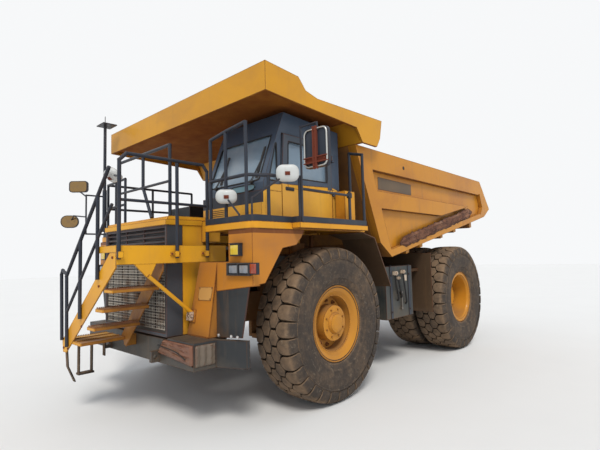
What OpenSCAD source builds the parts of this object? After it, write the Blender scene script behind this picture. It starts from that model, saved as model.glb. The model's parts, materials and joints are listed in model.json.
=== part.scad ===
// Rigid mining dump truck, empty and parked, with its bed down
// Z is up, the truck faces -Y and its left, cab side is +X
// Y stations are measured from the front axle, as on a maker's side view

/* [Main layout] */
// Front axle to rear axle
wheelbase = 4295; // [4000:5:4600]
// Front axle to the front edge of the stair
front_overhang = 2750; // [2650:10:2900]
// Rear axle to the tip of the bed's tail
rear_overhang = 2305; // [2250:5:2500]
// Running clearance between a pin and its bore
pin_gap = 0.3; // [0.1:0.1:0.8]

/* [Wheels] */
// Tyre radius over the lugs
tyre_r = 1085; // [1050:5:1110]
// Tyre width over the shoulder lugs
tyre_w = 655; // [620:5:680]
// Depth of the grooves between the lugs
lug_depth = 62; // [40:2:80]
// Lugs on each side of a tyre
lug_count = 24; // [18:1:28]
// Share of the pitch that a lug fills at the tread
lug_fill = 0.8; // [0.6:0.02:0.84]
// Radius of the rim's outer flange
rim_r = 535; // [515:5:555]
// Centre of a front tyre from the truck's centre line
front_tyre_x = 1790; // [1770:5:1810]
// Centre of an outer rear tyre from the centre line
rear_tyre_x = 1825; // [1810:5:1850]
// Spacing of the twin rear tyres
dual_pitch = 712; // [705:1:740]
// Kingpin from the centre line
kingpin_x = 1290; // [1270:5:1310]
// Radius of a front wheel spindle
spindle_r = 110; // [90:5:130]
// Radius of a rear axle tube inside the hubs
axle_tube_r = 200; // [180:5:220]

/* [Frame] */
// Outer face of a frame rail from the centre line
rail_x = 600; // [570:5:620]
// Width of a frame rail
rail_w = 170; // [140:5:200]
// Underside of the frame at the front
frame_bottom = 1050; // [1020:5:1080]
// Top of the frame at the engine
frame_top = 1500; // [1450:10:1560]
// Top of the frame under the bed
frame_rear_top = 1880; // [1850:5:1890]
// Radius of the bed's hinge pins
hinge_pin_r = 70; // [55:5:85]

/* [Bed] */
// Bed hinge behind the rear axle
hinge_back = 805; // [750:5:850]
// Height of the bed hinge
hinge_z = 1950; // [1930:5:1970]
// Half width of the bed over its side boxes
bed_half_w = 2005; // [1980:5:2030]
// Depth of the boxes that stiffen the sides
side_box_d = 85; // [50:5:110]
// Thickness of the side and front plates
bed_plate_t = 20; // [12:1:30]
// Thickness of the floor
floor_t = 60; // [40:5:80]
// Top edge of the bed's sides
bed_top = 3785; // [3740:5:3830]
// Underside of the floor at the front wall
floor_front_z = 1990; // [1970:5:2030]
// Slope of the floor, in degrees
floor_slope = 11.4; // [10.6:0.1:11.8]
// Half width of the canopy over the cab
canopy_half_w = 2146; // [2100:2:2200]
// Front face of the canopy ahead of the front axle
canopy_front = 1397; // [1350:1:1450]
// Top of the canopy's fascia
canopy_top = 4430; // [4400:5:4470]
// Height of the canopy's fascia
fascia_h = 369; // [330:3:390]

/* [Hoist] */
// Lower hoist pin behind the front axle
hoist_low_y = 3000; // [2960:10:3020]
// Height of the lower hoist pin
hoist_low_z = 820; // [800:10:860]
// Upper hoist pin behind the front axle
hoist_high_y = 3400; // [3360:10:3440]
// Height of the upper hoist pin
hoist_high_z = 2160; // [2130:10:2170]
// Hoist cylinder from the centre line
hoist_x = 700; // [696:1:700]
// Radius of a hoist barrel
hoist_r = 84; // [74:2:84]

/* [Nose] */
// Half width of the radiator's front
nose_half_w = 900; // [860:5:910]
// Front of the radiator ahead of the front axle
nose_front = 2000; // [1980:5:2020]
// Underside of the radiator
nose_bottom = 1075; // [1060:5:1100]
// Joint between the mesh and the louvres
louvre_bottom = 2020; // [1980:5:2060]
// Top of the louvres
louvre_top = 2490; // [2450:5:2510]
// Top of the hood
hood_top = 2610; // [2580:5:2650]
// Bars across the mesh
mesh_columns = 17; // [9:2:25]
// Bars up the mesh
mesh_rows = 10; // [6:1:14]
// Louvre blades
louvre_count = 6; // [4:1:9]

/* [Decks and fenders] */
// Outer edge of the decks
deck_x = 2100; // [2070:5:2130]
// Top of the decks
deck_top = 2470; // [2450:5:2490]
// Depth of the deck's edge
deck_t = 85; // [60:5:100]
// Front edge of the decks ahead of the front axle
deck_front = 1610; // [1580:5:1640]
// Rear edge of the decks behind the front axle
deck_rear = 680; // [640:5:720]
// Inner edge of the decks
deck_inner_x = 1180; // [1120:5:1220]
// Foot of the lamp towers
tower_foot = 1070; // [1050:5:1100]

/* [Cab] */
// Left side of the cab
cab_left = 1830; // [1800:5:1860]
// Right side of the cab
cab_right = 560; // [520:5:620]
// Top of the cab's roof
cab_top = 4010; // [3960:5:4030]
// Sill of the cab's windows
cab_sill = 3010; // [2960:5:3060]
// Front of the cab ahead of the front axle at its sill
cab_front = 1170; // [1140:5:1200]
// Back of the cab behind the front axle
cab_back = 420; // [380:5:440]
// Thickness of the cab's walls
cab_wall = 60; // [40:5:80]
// Clearance round the cab door
door_gap = 12; // [11:1:16]

/* [Stair and rails] */
// Side beam of the front landing from the centre line
beam_x = 1050; // [1030:5:1080]
// Underside of the side beam
beam_z = 2000; // [1980:5:2020]
// Height of the side beam
beam_h = 222; // [200:2:240]
// Width of the stair over its stringers
stair_w = 590; // [560:10:640]
// Radius of a handrail's tube
rail_r = 22; // [16:1:28]

/* [Hidden] */

overall = front_overhang + wheelbase + rear_overhang;
front_y = -overall / 2 + front_overhang;
axle_z = tyre_r;
hinge_y = wheelbase + hinge_back;
tail_y = wheelbase + rear_overhang;
eps = 1;

yellow = [0.93, 0.62, 0.13];
dusty_yellow = [0.80, 0.50, 0.16];
dark = [0.13, 0.15, 0.18];
rubber = [0.20, 0.18, 0.16];
steel = [0.45, 0.43, 0.42];
glass = [0.35, 0.45, 0.50, 0.5];

// Moves a shape drawn from the front axle to its place
module from_axle() {
    translate([0, front_y, 0]) children();
}

// Repeats a shape on the truck's right side
module both_sides() {
    children();
    mirror([1, 0, 0]) children();
}

// A box from its lowest to its highest corner
module block(low, high) {
    translate(low) cube(high - low);
}

// A side profile of [y, z] points, solid between two x planes
module side_plate(x0, x1, points) {
    translate([x0, 0, 0]) rotate([90, 0, 90]) linear_extrude(x1 - x0) polygon(points);
}

// A front profile of [x, z] points, solid between two y planes
module front_plate(y0, y1, points) {
    translate([0, y1, 0]) rotate([90, 0, 0]) linear_extrude(y1 - y0) polygon(points);
}

// A plan of [x, y] points, solid between two heights
module plan_plate(z0, z1, points) {
    translate([0, 0, z0]) linear_extrude(z1 - z0) polygon(points);
}

// A round bar between two points
module bar(a, b, r, sides = 12) {
    d = b - a;
    len = norm(d);
    translate(a) rotate([0, acos(d[2] / len), atan2(d[1], d[0])])
        cylinder(h = len, r = r, $fn = sides);
}

// A bent tube through a list of points, each leg run on past its corner
module tube_path(points, r = rail_r) {
    for (i = [0 : len(points) - 2]) {
        a = points[i];
        b = points[i + 1];
        u = (b - a) / norm(b - a);
        bar(a - (i > 0 ? r * 0.6 : 0) * u, b + (i < len(points) - 2 ? r * 0.6 : 0) * u, r);
    }
}

// A round bar along X
module x_bar(x0, x1, y, z, r, sides = 48) {
    translate([x0, y, z]) rotate([0, 90, 0]) cylinder(h = x1 - x0, r = r, $fn = sides);
}

// WHEELS

carcass_r = tyre_r - lug_depth;
bead_r = rim_r - 40;
tyre_half = tyre_w / 2;
rim_half = tyre_half * 0.72;
flange_t = 20;

// Section of the tyre without its lugs, as [radius, width] from its centre
function carcass_side(s) = [
    [bead_r, s * (rim_half - flange_t - pin_gap)],
    [rim_r + pin_gap, s * (rim_half - flange_t - pin_gap)],
    [rim_r + 6, s * (rim_half + flange_t)],
    [rim_r + 40, s * tyre_half * 0.88],
    [rim_r + 165, s * tyre_half * 0.985],
    [rim_r + 300, s * tyre_half * 0.985],
    [carcass_r - 65, s * tyre_half * 0.9],
    [carcass_r, s * tyre_half * 0.76]];

// Section of one lug, from the tread's middle to the sidewall
function lug_side(s) = [
    [carcass_r - 30, s * 22],
    [tyre_r, s * 22],
    [tyre_r, s * tyre_half * 0.74],
    [tyre_r - 32, s * tyre_half * 0.92],
    [tyre_r - 120, s * tyre_half],
    [tyre_r - 175, s * tyre_half * 0.985],
    [tyre_r - 190, s * tyre_half * 0.7]];

lug_w = lug_fill * 2 * PI * tyre_r / lug_count;

module tyre() {
    lug_turn = asin(lug_w / 2 / tyre_r);
    reach = tyre_r * cos(lug_turn);
    rotate([0, 90, 0]) union() {
        rotate_extrude($fn = 64)
            polygon(concat(carcass_side(-1), [for (i = [7 : -1 : 0]) carcass_side(1)[i]]));
        for (s = [-1, 1]) for (i = [0 : lug_count - 1])
            rotate([0, 0, lug_turn + (i + (s > 0 ? 0.5 : 0)) * 360 / lug_count])
                translate([reach - tyre_r, 0, 0]) rotate([90, 0, 0])
                    linear_extrude(lug_w, center = true) polygon(lug_side(s));
    }
}

// Front rim: flange, sloping dish, bolted ring and domed hub, open behind for the spindle
module front_rim() {
    w = rim_half;
    rotate([0, 90, 0]) difference() {
        rotate_extrude($fn = 64) polygon([
            [spindle_r + pin_gap, -w + 60], [270, -w + 60], [300, -60], [430, -60],
            [bead_r - 60, -w], [rim_r, -w], [rim_r, -w + flange_t], [bead_r - pin_gap, -w + flange_t],
            [bead_r - pin_gap, w - flange_t], [rim_r, w - flange_t], [rim_r, w + 14],
            [rim_r - 30, w + 14],
            [bead_r - 45, w - 10], [390, w - 60], [370, 40], [255, 40], [250, w - 40],
            [150, w - 30], [130, w + 10], [90, w + 22], [0, w + 25], [0, w - 60],
            [spindle_r + pin_gap, w - 60]]);
        for (i = [0 : 11]) rotate([0, 0, i * 30]) translate([312, 0, 20])
            cylinder(h = 60, r = 11, $fn = 16);
    }
}

// One section of a rear rim, flange to flange
function rear_rim_band(c, w) = [
    [bead_r - 25, c - w], [rim_r, c - w], [rim_r, c - w + flange_t],
    [bead_r - pin_gap, c - w + flange_t], [bead_r - pin_gap, c + w - flange_t],
    [rim_r, c + w - flange_t], [rim_r, c + w], [bead_r - 25, c + w]];

// Twin rear rims on one drum, dished deep from outside
module rear_rims() {
    w = rim_half;
    inner = -dual_pitch;
    rotate([0, 90, 0]) rotate_extrude($fn = 64) polygon(concat(
        [[axle_tube_r + pin_gap, inner - w + 40], [380, inner - w + 40], [400, inner - w]],
        rear_rim_band(inner, w),
        [[bead_r - 40, inner + w + 30], [bead_r - 40, -w - 30]],
        rear_rim_band(0, w),
        [[bead_r - 50, w - 40], [400, -w + 110], [320, -w + 60], [300, -w + 60],
         [285, -20], [200, 10], [0, 20], [0, -60], [axle_tube_r + pin_gap, -60]]));
}

module front_wheel_place(s) {
    from_axle() translate([s * front_tyre_x, 0, axle_z]) mirror([s < 0 ? 1 : 0, 0, 0]) children();
}

module rear_wheel_place(s) {
    from_axle() translate([s * rear_tyre_x, wheelbase, axle_z])
        mirror([s < 0 ? 1 : 0, 0, 0]) children();
}

module twin_tyres() {
    tyre();
    translate([-dual_pitch, 0, 0]) tyre();
}

module tyre_front_left() { color(rubber) front_wheel_place(1) tyre(); }
module tyre_front_right() { color(rubber) front_wheel_place(-1) tyre(); }
module tyres_rear_left() { color(rubber) rear_wheel_place(1) twin_tyres(); }
module tyres_rear_right() { color(rubber) rear_wheel_place(-1) twin_tyres(); }
module rim_front_left() { color(yellow) front_wheel_place(1) front_rim(); }
module rim_front_right() { color(yellow) front_wheel_place(-1) front_rim(); }
module rims_rear_left() { color(yellow) rear_wheel_place(1) rear_rims(); }
module rims_rear_right() { color(yellow) rear_wheel_place(-1) rear_rims(); }

// AXLES AND SUSPENSION

knuckle_r = 150;
strut_rod_r = 80;
knuckle_low = 860;
knuckle_high = 1330;
arm_len = 520;
tie_z = 930;
tie_r = 34;
strut_low = 1500;
strut_high = 2240;
strut_r = 118;
spindle_end = front_tyre_x + rim_half - 60;

// Kingpin body with its spindle and the arm to the tie rod
module knuckle() {
    arm_tip = [kingpin_x, arm_len];
    difference() {
        union() {
            translate([kingpin_x, 0, knuckle_low])
                cylinder(h = knuckle_high - knuckle_low, r = knuckle_r, $fn = 48);
            x_bar(kingpin_x, spindle_end - pin_gap, 0, axle_z, spindle_r);
            x_bar(kingpin_x + 100, front_tyre_x - rim_half - 20, 0, axle_z, 230);
            plan_plate(tie_z + tie_r + 12, tie_z + tie_r + 62, [
                [kingpin_x - 100, 60], [kingpin_x + 100, 60],
                [arm_tip[0] + 60, arm_tip[1] + 50], [arm_tip[0] - 60, arm_tip[1] + 50]]);
            translate([arm_tip[0], arm_tip[1], tie_z - tie_r - 12])
                cylinder(h = 2 * tie_r + 40, r = 26, $fn = 32);
        }
        translate([kingpin_x, 0, knuckle_low + 60])
            cylinder(h = knuckle_high, r = strut_rod_r + pin_gap, $fn = 48);
    }
}

module knuckle_left() { color(dusty_yellow) from_axle() knuckle(); }
module knuckle_right() { color(dusty_yellow) from_axle() mirror([1, 0, 0]) knuckle(); }

// Rod that joins the two knuckles' arms behind the axle
module tie_rod() {
    eye_x = kingpin_x;
    color(dark) from_axle() difference() {
        union() {
            x_bar(-eye_x, eye_x, arm_len, tie_z, tie_r);
            both_sides() translate([eye_x, arm_len, tie_z - tie_r - 8])
                cylinder(h = 2 * tie_r + 16, r = 58, $fn = 32);
        }
        both_sides() translate([eye_x, arm_len, tie_z - 100])
            cylinder(h = 200, r = 26 + pin_gap, $fn = 32);
    }
}

rear_strut_x = 690;
a_arm_y = 300;
a_arm_x = rail_x - 60;

// Front struts that the knuckles turn on, their A-arms, and the rear struts
module suspension_struts() {
    color(dusty_yellow) from_axle() {
        both_sides() {
            translate([kingpin_x, 0, knuckle_low + 60 + pin_gap])
                cylinder(h = strut_low - knuckle_low - 50, r = strut_rod_r, $fn = 48);
            translate([kingpin_x, 0, strut_low])
                cylinder(h = strut_high - strut_low, r = strut_r, $fn = 48);
            for (z = [1660, 2080]) block([rail_x, -110, z], [kingpin_x - 60, 110, z + 90]);
            plan_plate(770, 845, [[a_arm_x, -a_arm_y], [rail_x + 60, -a_arm_y],
                [kingpin_x + 60, -70], [kingpin_x + 60, 70], [rail_x + 60, a_arm_y],
                [a_arm_x, a_arm_y], [a_arm_x, a_arm_y - 110], [kingpin_x - 140, 0],
                [a_arm_x, 110 - a_arm_y]]);
        }
        both_sides() {
            translate([rear_strut_x, wheelbase + 240, 1290 + pin_gap]) cylinder(h = 250, r = 52, $fn = 32);
            translate([rear_strut_x, wheelbase + 240, 1440])
                cylinder(h = 260 - pin_gap, r = 74, $fn = 32);
        }
    }
}

// Rear axle with its differential, the tubes in the hubs and the A-frame ahead of it
module rear_axle() {
    inner_face = rear_tyre_x - dual_pitch - rim_half;
    color(dusty_yellow) from_axle() {
        union() {
            x_bar(-rear_tyre_x + 60 + pin_gap, rear_tyre_x - 60 - pin_gap, wheelbase, axle_z,
                axle_tube_r);
            x_bar(-inner_face + 40, inner_face - 40, wheelbase, axle_z, 270);
            translate([0, wheelbase, axle_z]) rotate([90, 0, 0])
                cylinder(h = 620, r = 330, center = true, $fn = 48);
            translate([0, wheelbase - 300, axle_z]) rotate([90, 0, 0])
                cylinder(h = 420, r1 = 250, r2 = 120, $fn = 48);
            both_sides() plan_plate(axle_z - 90, axle_z + 60, [[120, wheelbase - 1500],
                [190, wheelbase - 1500], [600, wheelbase - 100], [430, wheelbase - 100]]);
            block([-200, wheelbase - 1600, axle_z - 110], [200, wheelbase - 1480, axle_z + 80]);
            both_sides() block([rear_strut_x - 60, wheelbase + 150, 1120],
                [rear_strut_x + 60, wheelbase + 320, 1290]);
        }
    }
}

// FRAME

frame_tail = hinge_y + 190;
rear_bottom = 1540;
hitch_r = 30;
rise_front = wheelbase - 1345;
rise_rear = wheelbase - 945;

function rail_profile() = [
    [-1480, frame_bottom], [rise_front - 800, frame_bottom], [rise_front, frame_bottom + 60],
    [rise_rear, rear_bottom], [frame_tail, rear_bottom + 40], [frame_tail, frame_rear_top - 30],
    [frame_tail - 60, frame_rear_top], [wheelbase - 2395, frame_rear_top],
    [wheelbase - 3145, frame_top], [-1480, frame_top]];

// One rail with its bosses, strut towers and A-arm mounts, on the left
module frame_rail() {
    side_plate(rail_x - rail_w, rail_x, rail_profile());
    x_bar(rail_x - rail_w, rail_x, hinge_y, hinge_z, 135);
    x_bar(rail_x - rail_w - 20, rail_x + 105, hinge_y, hinge_z, hinge_pin_r);
    x_bar(rail_x - 60, hoist_x + hoist_r, hoist_low_y, hoist_low_z, 45);
    side_plate(rail_x - 60, rail_x, [[hoist_low_y - 160, 1180], [hoist_low_y - 80, hoist_low_z - 65],
        [hoist_low_y + 80, hoist_low_z - 65], [hoist_low_y + 160, 1280]]);
    block([rail_x - 60, -170, frame_top - 40], [rail_x, 170, 2200]);
    block([rail_x - 60, wheelbase + 170, 1700], [rear_strut_x + 60, wheelbase + 310, 1830]);
    block([rail_x - 130, -a_arm_y, 790], [a_arm_x - pin_gap, a_arm_y, frame_bottom + 20]);
    block([rail_x - rail_w, -1480, 780], [rail_x, -1380, frame_bottom + 20]);
}

// Two rails, and the cross-members that are welded between them
module frame() {
    half = rail_x - rail_w - pin_gap;
    color(dusty_yellow) from_axle() {
        both_sides() frame_rail();
        for (y = [-1440, 1300]) block([-half, y, 1120], [half, y + 160, 1440]);
        for (y = [rise_rear + 70, wheelbase + 655]) block([-half, y, 1620], [half, y + 160, 1840]);
        union() {
            block([-half, wheelbase - 1795, 1120], [half, wheelbase - 1635, 1440]);
            block([-200, wheelbase - 1700, axle_z - 90], [200, wheelbase - 1602, 1300]);
        }
        difference() {
            union() {
                block([-half, frame_tail - 170, 1610], [half, frame_tail - 20, 1840]);
                for (z = [1640, 1760]) block([-70, frame_tail - 30, z], [70, frame_tail + 140, z + 50]);
            }
            translate([0, frame_tail + 70, 1600]) cylinder(h = 250, r = hitch_r, $fn = 48);
        }
    }
}

// BUMPER

wing_x = 1890;
wing_y = -1540;
bumper_low = 745;

tow_x = 700;
tow_z = 830;
tow_r = 32;

// Centre section with its tow lugs, swept returns and wings under the lamp towers
module bumper() {
    color(dark) from_axle() difference() {
        bumper_solid();
        both_sides() x_bar(tow_x - 60, tow_x + 60, -nose_front - 55, tow_z, tow_r);
    }
}

module bumper_solid() {
    union() {
        both_sides() block([tow_x - 30, -nose_front - 110, tow_z - 70], [tow_x + 30, -nose_front + 20,
            tow_z + 70]);
        block([-1490, -nose_front, bumper_low], [1490, -nose_front + 70, 1050]);
        block([-1490, -nose_front, bumper_low], [1490, -nose_front + 330, bumper_low + 30]);
        both_sides() {
            plan_plate(bumper_low, 1070, [[1430, -nose_front], [1490, -nose_front],
                [1510, -1700], [wing_x, wing_y], [wing_x, wing_y + 50], [1470, -1650],
                [1430, -1700]]);
        }
        both_sides() block([rail_x - 120, -nose_front + 60, 800], [rail_x - 20, -1480 - pin_gap, 1040]);
        both_sides() block([leg_in, -nose_front, tower_foot - 25], [1490, -1650, tower_foot - pin_gap]);
    }
}

// NOSE

core_x = nose_half_w - 25;
housing_y = -nose_front + 230;

module radiator_housing() {
    color(dark) from_axle() difference() {
        block([-nose_half_w, -nose_front, nose_bottom], [nose_half_w, housing_y, louvre_top]);
        block([-core_x, -nose_front - eps, nose_bottom + 45], [core_x, -nose_front + 70,
            louvre_top - 15]);
    }
}

module radiator_mesh() {
    z0 = nose_bottom + 45 + pin_gap;
    z1 = louvre_bottom - 10;
    y0 = -nose_front + 8;
    x1 = core_x - pin_gap;
    color(steel) from_axle() union() {
        difference() {
            block([-x1, y0, z0], [x1, y0 + 30, z1]);
            block([-x1 + 30, y0 - eps, z0 + 30], [x1 - 30, y0 + 31, z1 - 30]);
        }
        for (i = [1 : mesh_columns]) let (x = -x1 + i * 2 * x1 / (mesh_columns + 1))
            block([x - 5, y0 + 10, z0 + 10], [x + 5, y0 + 20, z1 - 10]);
        for (i = [1 : mesh_rows]) let (z = z0 + i * (z1 - z0) / (mesh_rows + 1))
            block([-x1 + 10, y0 + 4, z - 5], [x1 - 10, y0 + 14, z + 5]);
    }
}

module louvre_grille() {
    z0 = louvre_bottom;
    z1 = louvre_top - 15 - pin_gap;
    y0 = -nose_front + 6;
    x1 = core_x - pin_gap;
    pitch = (z1 - z0 - 40) / louvre_count;
    color(dark) from_axle() union() {
        difference() {
            block([-x1, y0, z0], [x1, y0 + 60, z1]);
            block([-x1 + 25, y0 - eps, z0 + 20], [x1 - 25, y0 + 62, z1 - 20]);
        }
        for (i = [0 : louvre_count - 1]) let (z = z0 + 20 + (i + 0.5) * pitch)
            side_plate(-x1 + 20, x1 - 20, [[y0 + 6, z - 14], [y0 + 14, z - 22],
                [y0 + 54, z + 14], [y0 + 46, z + 22]]);
        for (x = [-260, 260]) block([x - 8, y0 + 20, z0 + 10], [x + 8, y0 + 40, z1 - 10]);
    }
}

hood_rear = 900;

// Nose cap with a raised front edge and the flat cover over the engine
module hood() {
    x0 = 990;
    lip = nose_half_w + 12;
    color(yellow) from_axle() difference() {
        union() {
            block([-lip, -nose_front - 15, louvre_top + pin_gap], [lip, -1400, hood_top - 50]);
            side_plate(-lip + 25, lip - 25, [[-1400, louvre_top + 20], [-nose_front + 25, louvre_top + 20],
                [-nose_front + 25, hood_top - 15], [-nose_front + 60, hood_top], [-1400, hood_top]]);
            block([-x0, -1470, 2270], [cab_right - 30, hood_rear, hood_top - 60]);
            block([-x0, -1470, 2270], [x0, -cab_front - 60, hood_top - 60]);
            both_sides() block([nose_half_w - 30, housing_y + pin_gap, nose_bottom],
                [nose_half_w, -1440, louvre_top + 30]);
        }
        block([-x0 + 30, -1430, 2000], [cab_right - 60, hood_rear - 30, hood_top - 90]);
    }
}

// Engine and its radiator fan, as one plain block between the rails
module engine() {
    color(steel) from_axle() union() {
        block([-rail_x + rail_w + 10, -1260, frame_bottom + 40], [rail_x - rail_w - 10, 900, 1480]);
        block([-520, -1100, 1510], [520, 800, 2060]);
        block([-300, -1000, 1400], [300, 700, 1600]);
    }
}

// LANDING AND STAIR

landing_z = beam_z + beam_h - 40;
stair_front = -front_overhang + 2 * rail_r + pin_gap;
stair_back = stair_front + stair_w;

// Beams round the landing at the stair's top, its plate, and the brace down to the lamp tower
module front_landing() {
    color(yellow) from_axle() union() {
        side_plate(beam_x - 20, beam_x - 2, [[-2500, beam_z + 5], [-2215, beam_z + 5], [-2290, 1845],
            [-2345, 1845]]);
        bar([beam_x - 14, -2320, 1862], [1005, leg_y + 20, 1352], 24);
        block([beam_x - 12, stair_front, beam_z], [beam_x, -1180, beam_z + beam_h]);
        block([beam_x - 30, stair_back + 2, beam_z], [beam_x, -1180, beam_z + 12]);
        block([beam_x - 480, stair_front, beam_z + 140], [beam_x - 6, stair_front + 12,
            beam_z + beam_h]);
        block([beam_x - 480, stair_front, landing_z], [beam_x - 6, -nose_front - 20,
            landing_z + 12]);
        block([beam_x - 480, -nose_front - 32, beam_z + 140], [beam_x - 6,
            -nose_front - 20, landing_z + 6]);
    }
}

foot_x = -560;
foot_z = 840;
landing_x = beam_x - 12 - pin_gap;
head_z = beam_z + 139.5;
platform_z = 1015;
tread_rise = 237;
tread_run = 246;
tread_depth = 210;
tread_t = 36;
tread_count = 3;
strap_t = 14;
strap_w = 70;

outer_stringer = [[foot_x, foot_z], [foot_x + 110, foot_z], [landing_x, beam_z - 32],
    [landing_x, head_z], [landing_x - 150, head_z], [foot_x - 30, foot_z + 150]];

// Steeper than the outer one, as its foot stands nearer to the nose
inner_stringer = [[60, 884], [landing_x, beam_z - 92], [landing_x, head_z], [946, head_z],
    [-74, 1023]];

// Two stringers, three treads and the foot plate
module stair() {
    color(yellow) from_axle() union() {
        front_plate(stair_front, stair_front + 14, outer_stringer);
        front_plate(stair_back - 14, stair_back, inner_stringer);
        for (i = [1 : tread_count]) let (x = i * tread_run + 93, z = i * tread_rise + 1004)
            block([x - tread_depth / 2, stair_front + 6, z - tread_t],
                [x + tread_depth / 2, stair_back - 6, z]);
        block([foot_x + 20, stair_front + 6, platform_z - 40], [30, stair_back - 6, platform_z]);
        block([0, stair_back - 10, 900], [100, -nose_front - pin_gap, 1046]);
    }
}

// What is left of the hanging steps: a bent strap, a stirrup and a bare bracket
module hanging_steps() {
    top = platform_z - 40 - pin_gap;
    y0 = stair_front + 14 + pin_gap;
    color(rubber) from_axle() {
        side_plate(-540, -540 + strap_w, [[y0, top], [y0 + 20, 640], [y0 + 110, 424],
            [y0 + 110 + strap_t, 432], [y0 + 20 + strap_t, 646], [y0 + strap_t, top]]);
        union() {
            for (y = [y0 + 160, y0 + 330]) block([-540, y, 520], [-540 + strap_w, y + strap_t, top]);
            block([-550, y0 + 150, 505], [-540 + strap_w + 20, y0 + 354, 530]);
        }
        block([-540, stair_back - 74, 700], [-540 + strap_w, stair_back - 74 + strap_t, top]);
    }
}

// FENDERS AND DECKS

lamp_x = 1650;
leg_in = nose_half_w + 15;
leg_out = 1390;
leg_top = beam_z - pin_gap;
leg_lean = atan(120 / (leg_top - tower_foot));
leg_y = -deck_front + 10 - 120;

// Side outline of a leg behind its leaning face
function leg_depth(rear) = [[leg_y + 2, tower_foot + 2], [-deck_front + 12, leg_top],
    [rear, leg_top], [rear, tower_foot + 2]];

// Leg that leans from the bumper back to the tower, with a flange on each edge
module tower_leg() {
    s = (leg_top - tower_foot) / cos(leg_lean);
    translate([0, leg_y, tower_foot + 2]) rotate([90 - leg_lean, 0, 0]) translate([0, 0, -12])
        linear_extrude(12) polygon([[leg_in + 5, 0], [leg_out, 0], [leg_out + 25, s - 2],
            [leg_in + 125, s - 2]]);
    side_plate(leg_out - 14, leg_out, leg_depth(-deck_front + 60));
    intersection() {
        front_plate(-1800, -1500, [[leg_in + 8, tower_foot], [leg_in + 26, tower_foot],
            [leg_in + 146, leg_top + 20], [leg_in + 128, leg_top + 20]]);
        side_plate(leg_in, leg_out, leg_depth(-1505));
    }
    block([leg_in + 75, leg_y - 10, tower_foot], [leg_out - 10, leg_y + 60, tower_foot + 12]);
    block([nose_half_w + pin_gap, -1520, 1150], [leg_in + 30, -1507, 1230]);
}

// Lamp towers and wheel arches, as folded plate
module fenders() {
    top = deck_top - deck_t - pin_gap;
    y0 = -deck_front + 10;
    color(yellow) from_axle() both_sides() union() {
        front_plate(y0, y0 + 14, [[lamp_x, top], [lamp_x, leg_top], [leg_out - 8, leg_top],
            [leg_out - 8, 1635], [2060, 1712], [deck_x - 10, 1712], [deck_x - 10, top]]);
        side_plate(deck_x - 24, deck_x - 10, [[y0, top], [y0, 1720], [-1410, 1740], [-1110, 2150],
            [-860, 2190], [-760, 2290], [-700, top]]);
        front_plate(y0 + 10, -1490, [[leg_out - 6, 1635], [2060, 1712], [deck_x - 12, 1712],
            [deck_x - 12, 1728], [2058, 1728], [leg_out - 6, 1651]]);
        block([lamp_x, y0 + 5, leg_top], [lamp_x + 14, -1400, top]);
        block([leg_out - 8, y0 + 5, leg_top - 12], [lamp_x + 14, -1500, leg_top]);
        block([lamp_x + 5, -1440, top - 40], [deck_x - 15, -1400, top]);
        tower_leg();
    }
}

// Outline of a deck in plan, rounded at its outer front corner
module deck_plan(inset) {
    r = 130;
    hull() {
        translate([deck_inner_x + inset, -deck_front + inset]) square(10);
        translate([deck_inner_x + inset, deck_rear - 10 - inset]) square(10);
        translate([deck_x - 10 - inset, deck_rear - 10 - inset]) square(10);
        translate([deck_x - r - inset, -deck_front + r + inset]) circle(r, $fn = 32);
    }
}

module deck_slab() {
    difference() {
        translate([0, 0, deck_top - deck_t]) linear_extrude(deck_t) deck_plan(0);
        translate([0, 0, deck_top - deck_t - eps]) linear_extrude(deck_t - 11) deck_plan(14);
    }
    for (y = [-1200, -700, -200, 300])
        block([deck_inner_x + 7, y, deck_top - 70], [deck_x - 7, y + 14, deck_top - 5]);
}

// Bracket from the frame rail up to the deck's rear edge, inside the steered tyre's sweep
module deck_bracket() {
    block([rail_x, deck_rear - 60, frame_top - 100], [rail_x + 60, deck_rear, 2100]);
    block([rail_x, deck_rear - 60, 2060], [1040, deck_rear, 2130]);
    block([1000, deck_rear - 60, 2060], [1040, deck_rear, deck_top - 40]);
    block([1000, deck_rear - 60, deck_top - deck_t], [deck_inner_x + 40, deck_rear, deck_top - 40]);
}

side_post_x = 2200;
side_front_y = -890;
side_rear_y = 170;
step_front = -940;
step_rear = 560;

module cab_deck() {
    color(yellow) from_axle() union() {
        deck_slab();
        block([deck_x - 220, 250, deck_top - 5], [deck_x - 40, 500, 3000]);
        block([cab_right - 20, -1150, deck_top - deck_t], [deck_inner_x + 20, 400, deck_top]);
        block([deck_x - 10, step_front, deck_top - 70], [side_post_x + 40, step_rear, deck_top]);
        deck_bracket();
    }
}

module right_deck() {
    color(yellow) from_axle() mirror([1, 0, 0]) union() {
        deck_slab();
        block([deck_x - 900, -300, deck_top - 5], [deck_x - 150, 420, 3050]);
        deck_bracket();
    }
}

// Dark guards ahead of and behind the front wheels and ahead of the rear wheels
guard_y = wheelbase - 1285;

module mudguards() {
    t = 14;
    color(dark) from_axle() both_sides() {
        front_plate(-deck_front + 12, -deck_front + 26, [[leg_out + pin_gap, tower_foot + pin_gap],
            [1880, tower_foot + 40], [2020, 1707], [leg_out + pin_gap, 1635.5]]);
        side_plate(1400, deck_x - 40, [[650, deck_top - deck_t - pin_gap], [1010, 2300], [1450, 1500],
            [1464, 1510], [1022, 2312], [690, deck_top - deck_t - pin_gap]]);
        block([830, guard_y, 900], [2040, guard_y + t, 2040]);
        for (x = [1000, 1700])
            block([x, tank_rear + pin_gap, 1690], [x + 60, guard_y - pin_gap, 1740]);
    }
}

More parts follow.
